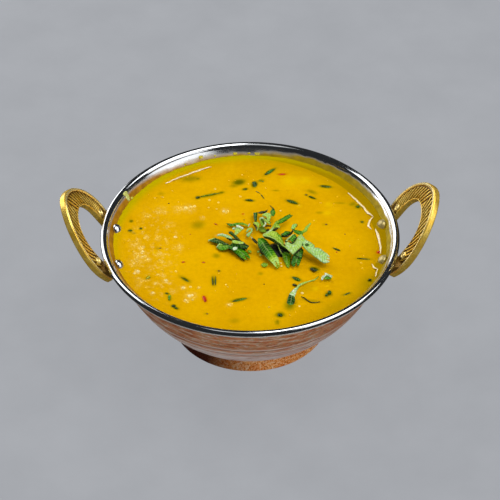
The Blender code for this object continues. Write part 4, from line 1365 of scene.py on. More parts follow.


# Each leaf: its tones from start to end (0 near black, 0.5 fresh green, 1 white), how blue the green is,
# how many lobes its end has, its heights, and its stations, in millimetres. Tones near 0 are painted shade:
# near-black pieces laid where leaves shade each other. Tones near 1 are painted highlights. Where the two
# edges differ in height, each edge is given whole.
LEAVES = [
    strip((0.34, 0.26), 0.1, 0, (54, 55.4), -20.9, -1.2, -20.9, -1.7, -17.9, 0.1, -17.7, -4,
        -14.2, -2.5, -14.2, -5.8, -10.8, -6.3, -10.8, -7),
    strip((0.95, 0.8), 0.5, 0, (54.2, 54.6), -20.9, -1.1, -20.9, -2.2, -19.7, -0.8, -20, -1.8,
        -17.7, 0.1, -17.8, -0.6),
    strip((0.52, 0.56), 0, 0, (53.9, 55.3), -17, -6.5, -16.9, -7.1, -15.2, -4.2, -14.8, -9.5,
        -12.5, -4.9, -12.1, -9.6, -10, -6.5, -10, -8.3),
    strip((0.88, 0.8), 0.3, 0, (54.6, 55.2), -17, -6.9, -16.8, -7.5, -15.5, -4.6, -15.4, -6,
        -13.9, -5.8, -13.8, -6.3),
    strip((0.95, 0.88), 0.5, 0, (56, 57.6), -16.5, 0.6, -16.4, -0.6, -14.1, 0.9, -14.2, -1,
        -11.6, -0.9, -11.9, -3, -8.8, -3.5, -9.1, -5.1),
    strip((0.26, 0.18), 0.8, 0, (58, 56), -10.7, 0.6, -10.6, -0.6, -9.3, 1.4, -8.8, -2.4,
        -6.9, -1.5, -6.5, -5.4, -4.5, -4.6, -4.3, -6.8, -0.7, -8.2, -1.3, -8.8),
    strip((0.1, 0.16), 0.4, 0, (56.8, 56.2), -11.9, -1.7, -11.7, -3.3, -9.9, -3.1, -10.2, -4.6,
        -7.4, -3.3, -7.5, -5.2, -5, -5.4, -5, -6.6),
    strip((0.8, 0.86), 0.1, 0, (57.6, 57), -9.2, -5.7, -9.1, -7.4, -7, -5.5, -7.5, -8.1,
        -5, -6.1, -5.3, -8.3, -3.1, -6.7, -3.5, -7.8),
    strip((0.34, 0.3), 0.3, 0, (56.4, 55.8), -8.5, -6, -10.3, -8, -5.5, -6.2, -7.1, -9.4,
        -2.5, -6.8, -4.1, -10, -0.6, -8.2, -1.6, -9.9),
    strip((0.46, 0.5), 0.1, 2, (55.8, 54.2), -10.8, -7.1, -10.4, -9.4, -6.5, -7.2, -7.6, -12.9,
        -2.6, -10.7, -5.2, -15.4, 0.5, -15.7, -3.2, -17.3),
    strip((0.14, 0.1), 0, 0, (55.4, 53.8), -10.5, -8.4, -10.4, -9.4, -7.6, -11.9, -7.6, -12.9,
        -5.2, -14.4, -5.2, -15.5, -3.1, -16.2, -3.3, -17.1),
    strip((1, 0.98), 0.6, 0, (57.2, 57), -9, -11.7, -8.6, -13, -8.1, -10.1, -7.6, -12.8,
        -6.6, -10.4, -6.6, -11.7),
    strip((0.54, 0.5), 0.2, 0, (54.6, 54.2), -3.5, -7.6, -3.4, -8.4, -2.5, -7, -2.6, -9,
        -1.4, -8, -1.6, -9),
    strip((0.64, 0.7), 0, 0, (54.2, 54), -1.4, -9.7, -1.1, -11.1, -0.6, -9.2, -0.4, -11.2,
        0.5, -9.9, 0.5, -10.9),
    strip((0.4, 0.74), 0.5, 0, (54.4, 54.5, 54.5, 54.5, 54.6), -11.7, 11.7, -11.3, 10.9,
        -9.2, 11.1, -9.7, 9, -6.1, 11.6, -6.2, 9.5, -3.8, 11.8, -4, 10.2, -0.6, 9.6, -0.9, 8.4),
    strip((0.98, 0.95), 0, 0, (54.2, 54.4), -1, 8.9, -0.8, 8.6, -0.5, 10.4, 0, 9.6, 0.1, 11, 0.4, 10.6),
    strip((0.93, 0.8), 0.05, 0, (59, 57.2), -6.7, 4.3, -5.9, 4.3, -7.3, 2.1, -3.2, 2.3,
        -7.7, 0.1, -5.1, 0.3, -7.9, -1.2, -7.4, -1.4),
    strip((1, 1), 0.3, 0, (59.4, 58.6), -6.9, 4, -6.8, 2.7, -5.6, 4.5, -5.7, 2.3, -3, 2.6, -3.3, 1.5),
    strip((0.97, 0.96), 0.9, 0, (56, 56), -8.8, 5.8, -8.7, 4.8, -7.9, 6.4, -7.9, 4.4, -7.3, 5.8, -7.3, 5),
    strip((0.86, 0.92), 0.6, 0, (55.6, 55), -2, 3.3, -1.3, 2.9, -0.7, 6, -0.4, 4.6, 1.2, 6.1, 0.4, 5,
        1.4, 4.1, 0.4, 4.1, 0.3, 2.1, -1, 2.9, -0.4, -0.1, -2, 1.1),
    strip((0.86, 0.9), 0.6, 0, (55, 54.6), -1.8, 2.1, -1.5, 0.2, -1, 2.9, -0.9, 0, 0.2, 2.5, -0.1, 1.4),
    strip((0.9, 0.9), 0.3, 0, (54.4, 54.4), 0.1, 1, 0.5, 0, 0.8, 0.6, 0.9, -0.9, 1.4, -0.2, 1.4, -0.6),
    strip((0.34, 0.3), 0.9, 0, (55.2, 55.8), 2.2, 18.4, 4.5, 18.6, 2.3, 14.8, 4, 14.8, 2.6, 10.7, 3.8, 11),
    strip((0.05, 0.03), 0.3, 0, (56, 56.6), 4.4, 18.1, 4.7, 17.3, 6.5, 18.6, 6.4, 16.5,
        7.8, 18.3, 8.2, 16.6, 9.4, 19.2, 9.5, 18.4),
    strip((0.84, 0.82), 0.25, 0, (56.8, 57.2), 6.4, 14.5, 6.8, 13.8, 7.9, 16.1, 7.9, 13.6,
        10.2, 16.1, 8.6, 12.9, 11.4, 14.3, 8.7, 11.6, 10.7, 11.8, 9, 10.1, 10.1, 8.6, 9.5, 8.6),
    strip((0.5, 0.46), 0.1, 0, (57.4, 56.8), 11.6, 18.9, 12.8, 18.4, 10.7, 16.3, 13.4, 16.2,
        11.5, 13.9, 12.4, 13.6),
    strip((0.22, 0.28), 0.2, 0, (58.4, 57.6), 10.6, 20.7, 10.7, 19.9, 11.9, 19.5, 11.6, 18.5,
        13.1, 18.2, 12.4, 17.8),
    strip((0.92, 0.93), 0, 0, (57.4, 57), 5, 10.1, 5.5, 9.8, 5.3, 12.1, 5.9, 11, 6.8, 12.7, 6.5, 11.3,
        8.4, 9.9, 7.5, 9.1, 8.5, 7.2, 7.7, 7.4, 6.9, 4.7, 6.5, 5.8),
    strip((0.66, 0.62), 0, 0, (56.6, 56.4), 5.3, 11.2, 6.6, 12.3, 5.4, 8.8, 7.5, 9.6, 6.1, 5.9, 7.6, 7.1),
    strip((0.2, 0.25), 0, 0, (56.9, 56.7), 5.7, 11, 6.1, 11.2, 6.5, 9.4, 6.9, 9.6, 7.1, 7.7, 7.4, 8.3),
    strip((0.8, 0.74), 0, 0, (57.4, 57.8), 7.2, 11.8, 7, 10.8, 8.8, 9.9, 8.4, 8.2, 10.7, 6.8, 10.2, 5.7),
    strip((0.1, 0.06), 0, 0, (57, 57.4), 7.9, 12.4, 7.6, 11.9, 9.6, 9.9, 9.2, 9.3, 10.9, 7.5, 10.7, 7.1),
    strip((0.8, 0.76), 0.2, 0, (56.4, 55.6), 1.9, 9.5, 2.1, 8.5, 4, 10, 3.1, 7.5, 5.1, 9, 3.9, 6.6,
        4.6, 6.3, 3.7, 4.9, 3.8, 3.8, 3.2, 3.8),
    strip((0.02, 0.02), 0.2, 0, (56.2, 55.4), 1.9, 8.6, 1.7, 8, 3.4, 7.1, 2.8, 6.2, 4, 5.9, 3.3, 4.7,
        3.8, 4, 3.4, 3.8),
    strip((0.68, 0.66), 0, 0, (53.8, 54.4), 4.4, 7.3, 4.6, 6.1, 5.7, 9.5, 5.8, 4.5, 7.4, 8, 7.3, 4.2,
        9, 5.1, 8.6, 4.4),
    strip((0, 0), 0, 0, (55.2, 55.2), 8.1, 4.7, 8.3, 4.1, 9, 5.8, 9, 3.6, 9.9, 5.3, 9.6, 4.3),
    strip((0, 0), 0, 0, (55.6, 55.8), 11.3, 4.2, 11.6, 3.3, 12.7, 5.7, 12.8, 3.4, 14.2, 6, 14.3, 4.6),
    strip((0.05, 0), 0, 0, (56, 56), 7.8, 6.9, 7.9, 6, 8.9, 7.5, 9, 6.4, 11, 7.7, 10.7, 6.4),
    strip((0.7, 0.64), 0, 0, (59.4, 59), 10.9, 1.1, 12.8, 1.5, 11.9, 4.2, 13.3, 4.1, 13.7, 7.3, 15.2, 6.6),
    strip((0.54, 0.44), 0.1, 2, (59, 57.4), 13.5, 6.8, 13.9, 4.6, 16.1, 9.9, 16.2, 6.3,
        18.2, 12.3, 18.6, 9.2, 20.8, 15, 22.4, 12.7),
    strip((0.1, 0.12), 0.1, 0, (58.2, 57.4), 13.7, 5.9, 13.9, 5.2, 16.2, 7.6, 16.2, 6.8,
        19.1, 10.3, 19.1, 9.7),
    strip((0.76, 0.72), 0, 0, (59.2, 58.8), 11.4, 1.8, 11.6, 0.6, 12.8, 4.4, 13, 1.9, 14.7, 4.6, 14.1, 2.1,
        15.3, 3, 14.6, 1),
    strip((0.9, 0.88), 0, 0, (60, 59.6), 6.2, -4.5, 6.5, -5.3, 8.6, -2.3, 9.1, -3.7, 10.6, 0.4, 11.1, -1.2,
        11.4, 1.7, 11.9, 0.9),
    strip((0.84, 0.66), 0, 0, (60, 59.4), 6.2, -4.6, 6.2, -5.5, 9.1, -3.2, 9.7, -5.6,
        11.4, -1.4, 11.9, -7.5, 13.3, -2.3, 13.6, -9.3, 14.8, -5.2, 15, -10.7, 16, -8.6, 16.6, -12.2),
    strip((0.62, 0.48), 0.1, 0, (59.8, 59.5), 13.6, -2.8, 13.2, -4.8, 15, -4.6, 14.6, -7.7,
        16.1, -8.7, 16.3, -10.9),
    strip((0.86, 0.84), 0, 0, (60.4, 59.8), 6.2, -5.5, 6.4, -6.4, 9.7, -6, 9.7, -7.1,
        12.4, -8.3, 12.3, -9.3, 14.8, -10.9, 14.7, -11.9, 17.6, -14.2, 17.3, -15.2, 20.7, -18.8, 20.5, -20),
    ((0.24, 0.3), 0, 0, [(6.4, -5.6, 59.8), (10, -6.2, 59.6), (13.3, -9, 59.5), (16.2, -12, 59.4),
        (18.4, -14.4, 59.2)], [(7, -5.3, 58.4), (9.7, -7, 58.4), (13.1, -10.1, 58.3), (15.2, -11.8, 58.2),
        (17.4, -13.9, 58.2)]),
    strip((0.84, 0.8), 0, 0, (58, 55.6), 13.1, -9.3, 13.7, -9.4, 13.6, -10.2, 14.1, -10.6,
        14.2, -12.3, 14.8, -12.3, 15.5, -14.7, 15.8, -14.1),
    strip((0.56, 0.5, 0.3, 0.34, 0.5, 0.8, 0.86, 0.6), 0.15, 2,
        (58.4, 57.9, 57.3, 56.8, 56.2, 55.6, 55.1, 54.5, 54),
        3.9, -5.5, 3.7, -6.5, 6.3, -4.4, 3.6, -9.9, 8.3, -6.3, 4.5, -12.5, 10.2, -10.3, 6.2, -15.3,
        12.2, -14.3, 8.3, -18.6, 13.4, -16.8, 9.5, -20.3, 14.1, -18.8, 10.6, -21.5,
        14.2, -21.2, 11.9, -23.6, 14, -23.4, 12.8, -24.1),
    strip((0.92, 0.9), 0.3, 0, (57.2, 55), 3.6, -9.2, 3.9, -10.2, 5.1, -11.3, 5, -12.4,
        7.2, -14.7, 6.9, -15.5, 9.8, -18.6, 9.3, -19.4),
    strip((0.04, 0), 0.3, 0, (56.2, 55.6), 1, -2.1, 1, -3.7, 2.6, -3.3, 2.2, -5.7, 3.7, -5.3, 3.3, -6.7),
    strip((0, 0), 0, 0, (54.6, 54.4), 4.3, -9.8, 4.5, -11.6, 5.8, -11, 5.7, -13.4, 7.1, -13.2, 6.8, -13.8),
    strip((0.8, 0.8), 0.3, 0, (54.6, 54.6), 3.2, -10.9, 3.3, -11.7, 3.9, -10, 3.9, -12.2,
        4.5, -11.1, 4.6, -11.7),
    strip((0.8, 0.84), 0.2, 0, (54.2, 54.2), 4.3, -13.1, 4.5, -14.1, 4.9, -12.6, 5, -14.3,
        5.8, -13.2, 5.6, -13.8),
    strip((0.44, 0.52), 0.9, 0, (57.2, 57.2), 15.5, -1, 15.9, -2.4, 17.7, 1, 17.9, -2.1,
        20.1, 1.2, 20.3, 0),
    strip((0.02, 0.04), 0.2, 0, (56.2, 56.4), 15.2, -0.7, 15.6, -2.3, 17.7, -0.9, 17.9, -2.4,
        20.3, 1.1, 20.7, -0.6, 21.5, 3, 21.9, 2),
    strip((0.66, 0.68), 0, 0, (53.6, 53.7, 53.7), 4.8, -19.6, 5.7, -21.5, 6.4, -18.5, 7, -21.8,
        8.4, -19.4, 8.1, -20.8),
    strip((0.56, 0.62), 0, 0, (55.2, 53.4), 15.3, -13.1, 19.7, -14.7, 16, -16.7, 19.9, -16.8,
        17.6, -21.8, 18.7, -22.7),
    strip((0.5, 0.54), 0.1, 0, (55.8, 55), 16.3, -13, 17, -15.1, 17.9, -12.7, 18.2, -15.7,
        20.1, -14.3, 20.1, -16.4),
    strip((0.9, 0.84), 0.15, 0, (60.2, 59.4), 16.8, -11.7, 17.4, -14.2, 18.5, -10.4, 19.1, -17.2,
        20.4, -11.9, 20.6, -19.9, 22.2, -9.6, 22.7, -17.1, 23.7, -6, 25.1, -14, 25.5, -3.5, 26.4, -7.2),
    strip((0.5, 0.44), 0.2, 0, (60.4, 60.2), 19.1, -9.1, 20.7, -11.7, 20.6, -6.3, 21.9, -9.4,
        22.4, -4.8, 23, -7),
    strip((0, 0), 0, 0, (60.6, 60.5, 60.5, 60.5, 60.4), 18.8, -9.2, 19.2, -9.6, 19.3, -11, 19.6, -11.9,
        20.7, -11.6, 20.7, -12.5, 22.2, -8.8, 22.5, -9.7, 23, -7.1, 23.3, -7.5),
    strip((0.86, 0.88), 0, 0, (60.6, 60.2), 17.4, -10.1, 18, -10.7, 19.2, -7.3, 19.8, -7.9,
        21.3, -4.7, 21.8, -5.1),
    strip((0.02, 0.06), 0, 0, (58.6, 58.6), 17.1, -8.2, 17.2, -9, 17.8, -7.3, 17.8, -9.7,
        18.5, -8.2, 18.5, -9.1),
    strip((0.52, 0.46), 0.1, 0, (59.4, 59.2), 21.2, -0.3, 22.1, -2.5, 23.4, -0.5, 23.8, -4.1,
        25.6, -1.3, 25.2, -4.1, 26.5, -3.1, 26, -4.9),
    strip((0.86, 0.84), 0.9, 0, (60.6, 60), 21.1, 1.5, 20.5, -1.2, 22.1, 3, 22, -1.1, 23.7, 3.3, 22.9, 0.7),
    strip((0.5, 0.46), 0.3, 0, (60, 59.4), 21.2, 0.2, 22.3, 0.2, 21.6, -1, 22.5, -1, 22.5, -2.4, 23.3, -2),
    strip((0.08, 0.1), 0.2, 0, (60.2, 60), 23.3, 2.9, 23.9, 2.8, 23.5, 2, 23.9, 1.9, 22.9, 0.7, 23.2, 0.7),
    strip((0.74, 0.8), 0.7, 0, (58.8, 58.2), 25.2, -1, 26.5, -2.7, 27.2, 0.5, 28.6, -0.4,
        28, 3.2, 29.5, 2.5, 30.8, 6.2, 30.9, 5.4),
    ((0.88, 0.9), 0.45, 0, [(25.2, -3.9, 59.6), (26.5, -6, 59.4), (28, -8.2, 59.1), (29.7, -9.3, 58.9),
        (31.7, -11.8, 58.6), (31.2, -13.9, 58.4)], [(25.1, -12.2, 59.2), (26.2, -13.7, 58.8),
        (27.7, -15.4, 58.3), (29.3, -17.1, 57.9), (30.4, -17.9, 57.4), (31.2, -18.3, 57)]),
    ((0.88, 0.92), 0.45, 3, [(30.6, -13.4, 58.4), (33.6, -13.1, 58), (35.6, -14.7, 57.6),
        (37.7, -16.4, 57.2), (39, -18.2, 56.8)], [(31, -18.2, 57), (33, -20.5, 56.8), (34.6, -22, 56.6),
        (36.2, -23.1, 56.4), (38.7, -22.5, 56.2)]),
    strip((0.2, 0.24), 0.4, 0, (59.6, 59.4), 25, -11.7, 25.1, -12.8, 25.7, -10.9, 25.7, -12.9,
        26.3, -11.9, 26.2, -12.5),
    strip((0.3, 0.34), 0.3, 0, (59.4, 59.2), 26.9, -11.5, 27.1, -12.8, 27.9, -10.8, 27.9, -13.1,
        29.1, -11.7, 28.9, -12.5),
    ((0.4, 0.44), 0.2, 2, [(21, -16.4, 57), (20.5, -18.4, 56.1), (19.8, -20.3, 55.1), (20.1, -23.2, 54.2)],
        [(25.1, -11.9, 57.4), (26.2, -12.4, 56.5), (25.8, -15.2, 55.7), (25.1, -17.6, 54.9),
        (24.2, -21.8, 54)]),
    strip((0.1, 0.08), 0.1, 0, (57.8, 57.8), 20.8, -17.1, 21, -18, 22.8, -15, 23, -16.1,
        25.2, -12.2, 25.6, -13),
    strip((0.16, 0.2), 0.2, 0, (56.8, 56.2), 21.1, -16.4, 21.1, -17.1, 23.2, -17.3, 23.2, -18.1,
        25.4, -18.3, 25.2, -19.1),
    strip((1, 0.97), 0.4, 0, (54.6, 55.4), 33.9, -33.1, 34.7, -33.5, 34.4, -31.3, 35.4, -32.2,
        36.5, -30, 36.9, -31),
    strip((0.98, 0.95), 0.2, 0, (55.4, 54.8), 35.9, -28.8, 35.9, -30, 38, -29.8, 37.6, -31,
        39.7, -30.9, 39, -32.2),
    strip((0.62, 0.5), 0, 0, (54.6, 54.2), 35.2, -31.2, 35.7, -33, 37, -29.4, 37.3, -32.5,
        38.7, -30.2, 39.1, -32.3),
    strip((0.72, 0.92), 0, 0, (53.6, 54.6), 33.1, -29, 33.1, -29.5, 31.1, -31.6, 31.4, -32.3,
        28.6, -32.8, 28.8, -33.5, 26.4, -33.9, 26.6, -34.9, 24.1, -34.9, 24.4, -36.2,
        22.4, -36.8, 22.8, -38.3, 21.2, -39, 21.8, -40.5),
    strip((0.92, 0.95), 0.2, 0, (54.8, 54.6), 21.3, -38.8, 21.8, -40.2, 19.5, -40.8, 21.4, -42.2,
        18.1, -43.1, 20.9, -43.8, 17.8, -44, 20.5, -45.5),
    strip((0.26, 0.44), 0.1, 0, (54.5, 52.3), 17.9, -43.6, 20.5, -45.3, 17.3, -45, 20.7, -47.1,
        16.6, -47.8, 20.1, -48.7, 16.2, -50.2, 19.5, -50.9),
    strip((0.12, 0.1), 0, 0, (53.5, 53.3), 23.7, -43.8, 23.9, -44.3, 25.3, -44.8, 25.3, -45.5,
        27.1, -46.9, 27, -47.6, 28.4, -47.8, 28.4, -48.5, 30.6, -48, 30.5, -48.6, 32.6, -47.6, 32.7, -48),
    strip((0, 0), 0, 0, (53.8, 53.8), 20.1, -34.9, 20.3, -35.9, 21.1, -35, 21.1, -36.3,
        22.1, -36.2, 21.7, -36.8),
    strip((0.06, 0.2), 0.4, 0, (53.9, 53.9), 29, -23.4, 29.2, -24.5, 30.2, -23.2, 30.3, -25.8,
        31.5, -24.6, 31.1, -26.2, 32.8, -24.9, 32.5, -25.4),
    strip((0.36, 0.34), 0.9, 0, (53.8, 53.8), 36.9, -40.7, 36.8, -42.3, 38, -40.1, 37.7, -43,
        38.6, -41.8, 38.4, -42.5),
    strip((0.36, 0.34), 0.8, 0, (53.8, 53.8), 35.5, -43.3, 35.6, -44.1, 36.2, -42.5, 36.1, -44.4,
        36.7, -43.1, 36.6, -44),
]
print("the heap has", len(LEAVES), "cut leaves")

# %% Leaf builder
LEAF_THICKNESS = 0.00030
LEAF_STEP = 0.00042
LOBE_DEPTH = 0.26
LEAF_ARCH = 0.035
LEAF_CRUMPLE = 0.00035
CORNER_SLACK = 0.55
CRUMPLES_PER_METRE = 420
TINY = 1e-12


def edge_at(points, wanted):
    """Places on a smooth curve through a few points. Wanted is any array of shares of its length."""
    knots = np.array(points, float) * MM
    reach = np.concatenate([[0], np.cumsum(np.linalg.norm(np.diff(knots, axis=0), axis=1))])
    reach /= reach[-1]
    slopes = CORNER_SLACK * np.gradient(knots, reach, axis=0)
    cell = np.clip(np.searchsorted(reach, wanted, side="right") - 1, 0, len(reach) - 2)
    span = (reach[cell + 1] - reach[cell])[..., None]
    t = (wanted - reach[cell])[..., None] / span
    return ((1 + 2 * t) * (1 - t) ** 2 * knots[cell] + t * (1 - t) ** 2 * span * slopes[cell]
            + t * t * (3 - 2 * t) * knots[cell + 1] + t * t * (t - 1) * span * slopes[cell + 1])


def leaf_sheet(edge_one, edge_two, lobes, seed):
    """A grid of points between two edges, arched and crumpled, with the share along and across of each."""
    rough = np.linspace(0, 1, 20)
    one, two = edge_at(edge_one, rough), edge_at(edge_two, rough)
    length = max(np.linalg.norm(np.diff(side, axis=0), axis=1).sum() for side in (one, two))
    width = np.linalg.norm(one - two, axis=1).max()
    rows = int(np.clip(length / LEAF_STEP, 6, 44))
    columns = int(np.clip(width / LEAF_STEP, 4, 20))
    along, across = np.meshgrid(np.linspace(0, 1, rows), np.linspace(0, 1, columns), indexing="ij")
    if lobes:
        along = along * (1 - LOBE_DEPTH * np.cos(math.pi * lobes * across) ** 4 * along ** 3)
    near_one, near_two = (1 - across)[..., None], across[..., None]
    sheet = edge_at(edge_one, along) * near_one + edge_at(edge_two, along) * near_two
    normal = np.cross(np.gradient(sheet, axis=0), np.gradient(sheet, axis=1))
    steepness = np.maximum(np.linalg.norm(normal, axis=2, keepdims=True), TINY)
    normal *= np.sign(normal[..., 2:3] + TINY) / steepness
    shift = Vector((seed, 0, 0))
    crumple = np.array([noise.noise(Vector(point) * CRUMPLES_PER_METRE + shift)
                        for point in sheet.reshape(-1, 3)])
    lift = LEAF_ARCH * width * 4 * across * (1 - across) + LEAF_CRUMPLE * crumple.reshape(rows, columns)
    return sheet + normal * lift[..., None], normal, along, across, length


def leaf_shell(edge_one, edge_two, lobes, seed):
    """A leaf's closed shell: points, faces, and each point's share along and across."""
    sheet, normal, along, across, length = leaf_sheet(edge_one, edge_two, lobes, seed)
    rows, columns = along.shape
    thin = LEAF_THICKNESS * (0.45 + 0.55 * np.clip(4 * across * (1 - across) * 3, 0, 1))[..., None]
    half = normal * thin / 2
    points = np.concatenate([(sheet + half).reshape(-1, 3), (sheet - half).reshape(-1, 3)])
    under = rows * columns
    faces = grid_faces(rows, columns) + [face[::-1] for face in grid_faces(rows, columns, first=under)]
    rim = ([(0, j) for j in range(columns)] + [(i, columns - 1) for i in range(1, rows)]
           + [(rows - 1, j) for j in range(columns - 2, -1, -1)] + [(i, 0) for i in range(rows - 2, 0, -1)])
    rim = [i * columns + j for i, j in rim]
    for here, there in zip(rim, rim[1:] + rim[:1]):
        faces.append((there, here, here + under, there + under))
    doubled = [np.tile(values.reshape(-1), 2) for values in (along, along * length / MM, across)]
    return points, faces, doubled


def joined_leaves(name, leaves):
    """Many leaves as one mesh. Each leaf is its tones from start to end, its blueness, lobes and edges."""
    points, faces, parts = [], [], {"tone": [], "blue": [], "along": [], "across": []}
    first = 0
    for order, (tones, blue, lobes, one, two) in enumerate(leaves):
        shell, shell_faces, (share, length, across) = leaf_shell(one, two, lobes, seed=3.7 * order)
        points.append(shell)
        faces += [tuple(first + corner for corner in face) for face in shell_faces]
        first += len(shell)
        tone = np.interp(share, np.linspace(0, 1, len(tones)), tones)
        for key, values in zip(parts, (tone, np.full(len(share), blue), length, across)):
            parts[key].append(values)
    mesh = mesh_from(name, np.concatenate(points), faces)
    for key, values in parts.items():
        add_attribute(mesh, key, np.concatenate(values))
    tidy_normals(mesh)
    return mesh

# %% [markdown]
# Cut coriander has a net of fine veins, and it shines where it is wet. The finish reads each leaf's tone,
# from near black, a painted shade, through the greens to near white, a painted highlight, and then draws
# a middle rib and slanting side veins from the shares along and across that the mesh carries.

# %% Coriander finish
# The first stop, near black, is painted shade, and the last, near white, a painted highlight.
LEAF_SHADE_GREENS_HIGHLIGHT = [(0.0, srgb(8, 12, 4)), (0.14, srgb(18, 34, 8)), (0.32, srgb(24, 84, 2)),
               (0.50, srgb(70, 152, 0)), (0.66, srgb(140, 184, 6)), (0.80, srgb(190, 222, 76)),
               (0.90, srgb(184, 222, 136)), (1.0, srgb(250, 252, 236))]


def coriander_finish():
    material, tree, shader = new_finish("coriander_leaf")
    grain = noise_of(tree, 0.0012, detail=4.0)
    fine = noise_of(tree, 0.00035, detail=3.0)
    tone = swayed_tone(tree, grain, 0.45)
    colour = ramp(tree, tone, LEAF_SHADE_GREENS_HIGHLIGHT)
    cooler = blend_colours(tree, 1.0, colour, srgb(208, 244, 218), "MULTIPLY")
    colour = blend_colours(tree, attribute_of(tree, "blue"), colour, cooler)
    beside = math_of(tree, "ABSOLUTE", math_of(tree, "SUBTRACT", attribute_of(tree, "across"), 0.5))
    rib = between(tree, beside, 0.0, 0.07, 1.0, 0.0)
    wave = math_of(tree, "MULTIPLY_ADD", beside, -9.0, times(tree, attribute_of(tree, "along"), 4.2))
    side_vein = between(tree, math_of(tree, "SINE", wave), 0.72, 0.98, 0.0, 0.55)
    vein = math_of(tree, "MAXIMUM", rib, side_vein)
    darker = blend_colours(tree, 1.0, colour, srgb(104, 130, 66), "MULTIPLY")
    blotch = between(tree, noise_of(tree, 0.0008, detail=3.0, roughness=0.7), 0.50, 0.62)
    blotch = times(tree, blotch, between(tree, tone, 0.80, 0.50, 0.15, 0.8))
    colour = blend_colours(tree, blotch, colour, darker)
    between_veins = between(tree, math_of(tree, "SINE", wave), -0.3, -0.95, 0.0, 0.45)
    colour = blend_colours(tree, between_veins, colour, darker)
    lighter = blend_colours(tree, 0.45, colour, srgb(206, 232, 130))
    colour = blend_colours(tree, times(tree, vein, 0.8), colour, lighter)
    colour = blend_colours(tree, between(tree, beside, 0.40, 0.48, 0.0, 0.5), colour, darker)
    shader.inputs["Specular IOR Level"].default_value = 0.16
    height = math_of(tree, "MULTIPLY_ADD", vein, 0.7, times(tree, grain, 0.6))
    connect(tree, shader, base_color=colour, roughness=between(tree, fine, 0.3, 0.7, 0.16, 0.34),
            normal=bump_of(tree, height, 0.0003, 0.7))
    return material


CORIANDER = coriander_finish()

# %% Coriander heap
dress(joined_leaves("coriander_leaves", LEAVES), CORIANDER, "coriander")

# %% [markdown]
# Under the cut leaves lies a low, near-black bed pressed into the dal. It is a painted shade that fills
# the gaps between the leaves, and it takes the place of the plain heap.

# %% Coriander bed
# Middle x and y, half width, half depth and height of each low mound, in millimetres.
SHADE_BEDS = [(12.5, -8.5, 8.0, 6.0, 1.9), (-6.5, -6.5, 5.0, 3.2, 1.6), (10.5, 4.0, 3.2, 3.0, 1.3)]
BED_RINGS = 14
BED_SPOKES = 40


def bed_shell(at_x, at_y, half_width, half_depth, tall, first):
    """A closed mound, a ring at a time from its middle to its edge, and a point under its middle."""
    points = [(at_x * MM, at_y * MM, DAL_LEVEL + tall * MM)]
    for ring in np.linspace(0, 1, BED_RINGS + 1)[1:]:
        for turn in np.linspace(0, 2 * math.pi, BED_SPOKES, endpoint=False):
            heading = Vector((math.cos(turn), math.sin(turn), at_x))
            reach = ring * (1 + 0.22 * noise.noise(heading * 2.3))
            x = (at_x + half_width * reach * math.cos(turn)) * MM
            y = (at_y + half_depth * reach * math.sin(turn)) * MM
            lumps = 0.35 * noise.noise(Vector((x, y, 0)) * 700) * (1 - ring)
            points.append((x, y, DAL_LEVEL + (tall * (1 - ring ** 2.2) + lumps - 0.5 * ring) * MM))
    points.append((at_x * MM, at_y * MM, DAL_LEVEL - 0.6 * MM))
    return points, domed_faces(BED_RINGS, BED_SPOKES, first)


bed_points, bed_faces = [], []
for bed in SHADE_BEDS:
    points, faces = bed_shell(*bed, first=len(bed_points))
    bed_points += points
    bed_faces += faces
shade_bed_mesh = mesh_from("coriander_shade_bed", bed_points, bed_faces)
# Near black: a painted shade between the leaves.
add_attribute(shade_bed_mesh, "tone", [0.05] * len(bed_points))
add_attribute(shade_bed_mesh, "across", [0.25] * len(bed_points))
dress(shade_bed_mesh, CORIANDER, "coriander", "coriander_heap")

# %% [markdown]
# ## Herbs on the surface
# Stirred-in coriander floats in the dal too. These bits are narrow, lie almost flat, and sit half sunk,
# so only two ends, a width and a tone are given for each, and the leaf builder does the rest.

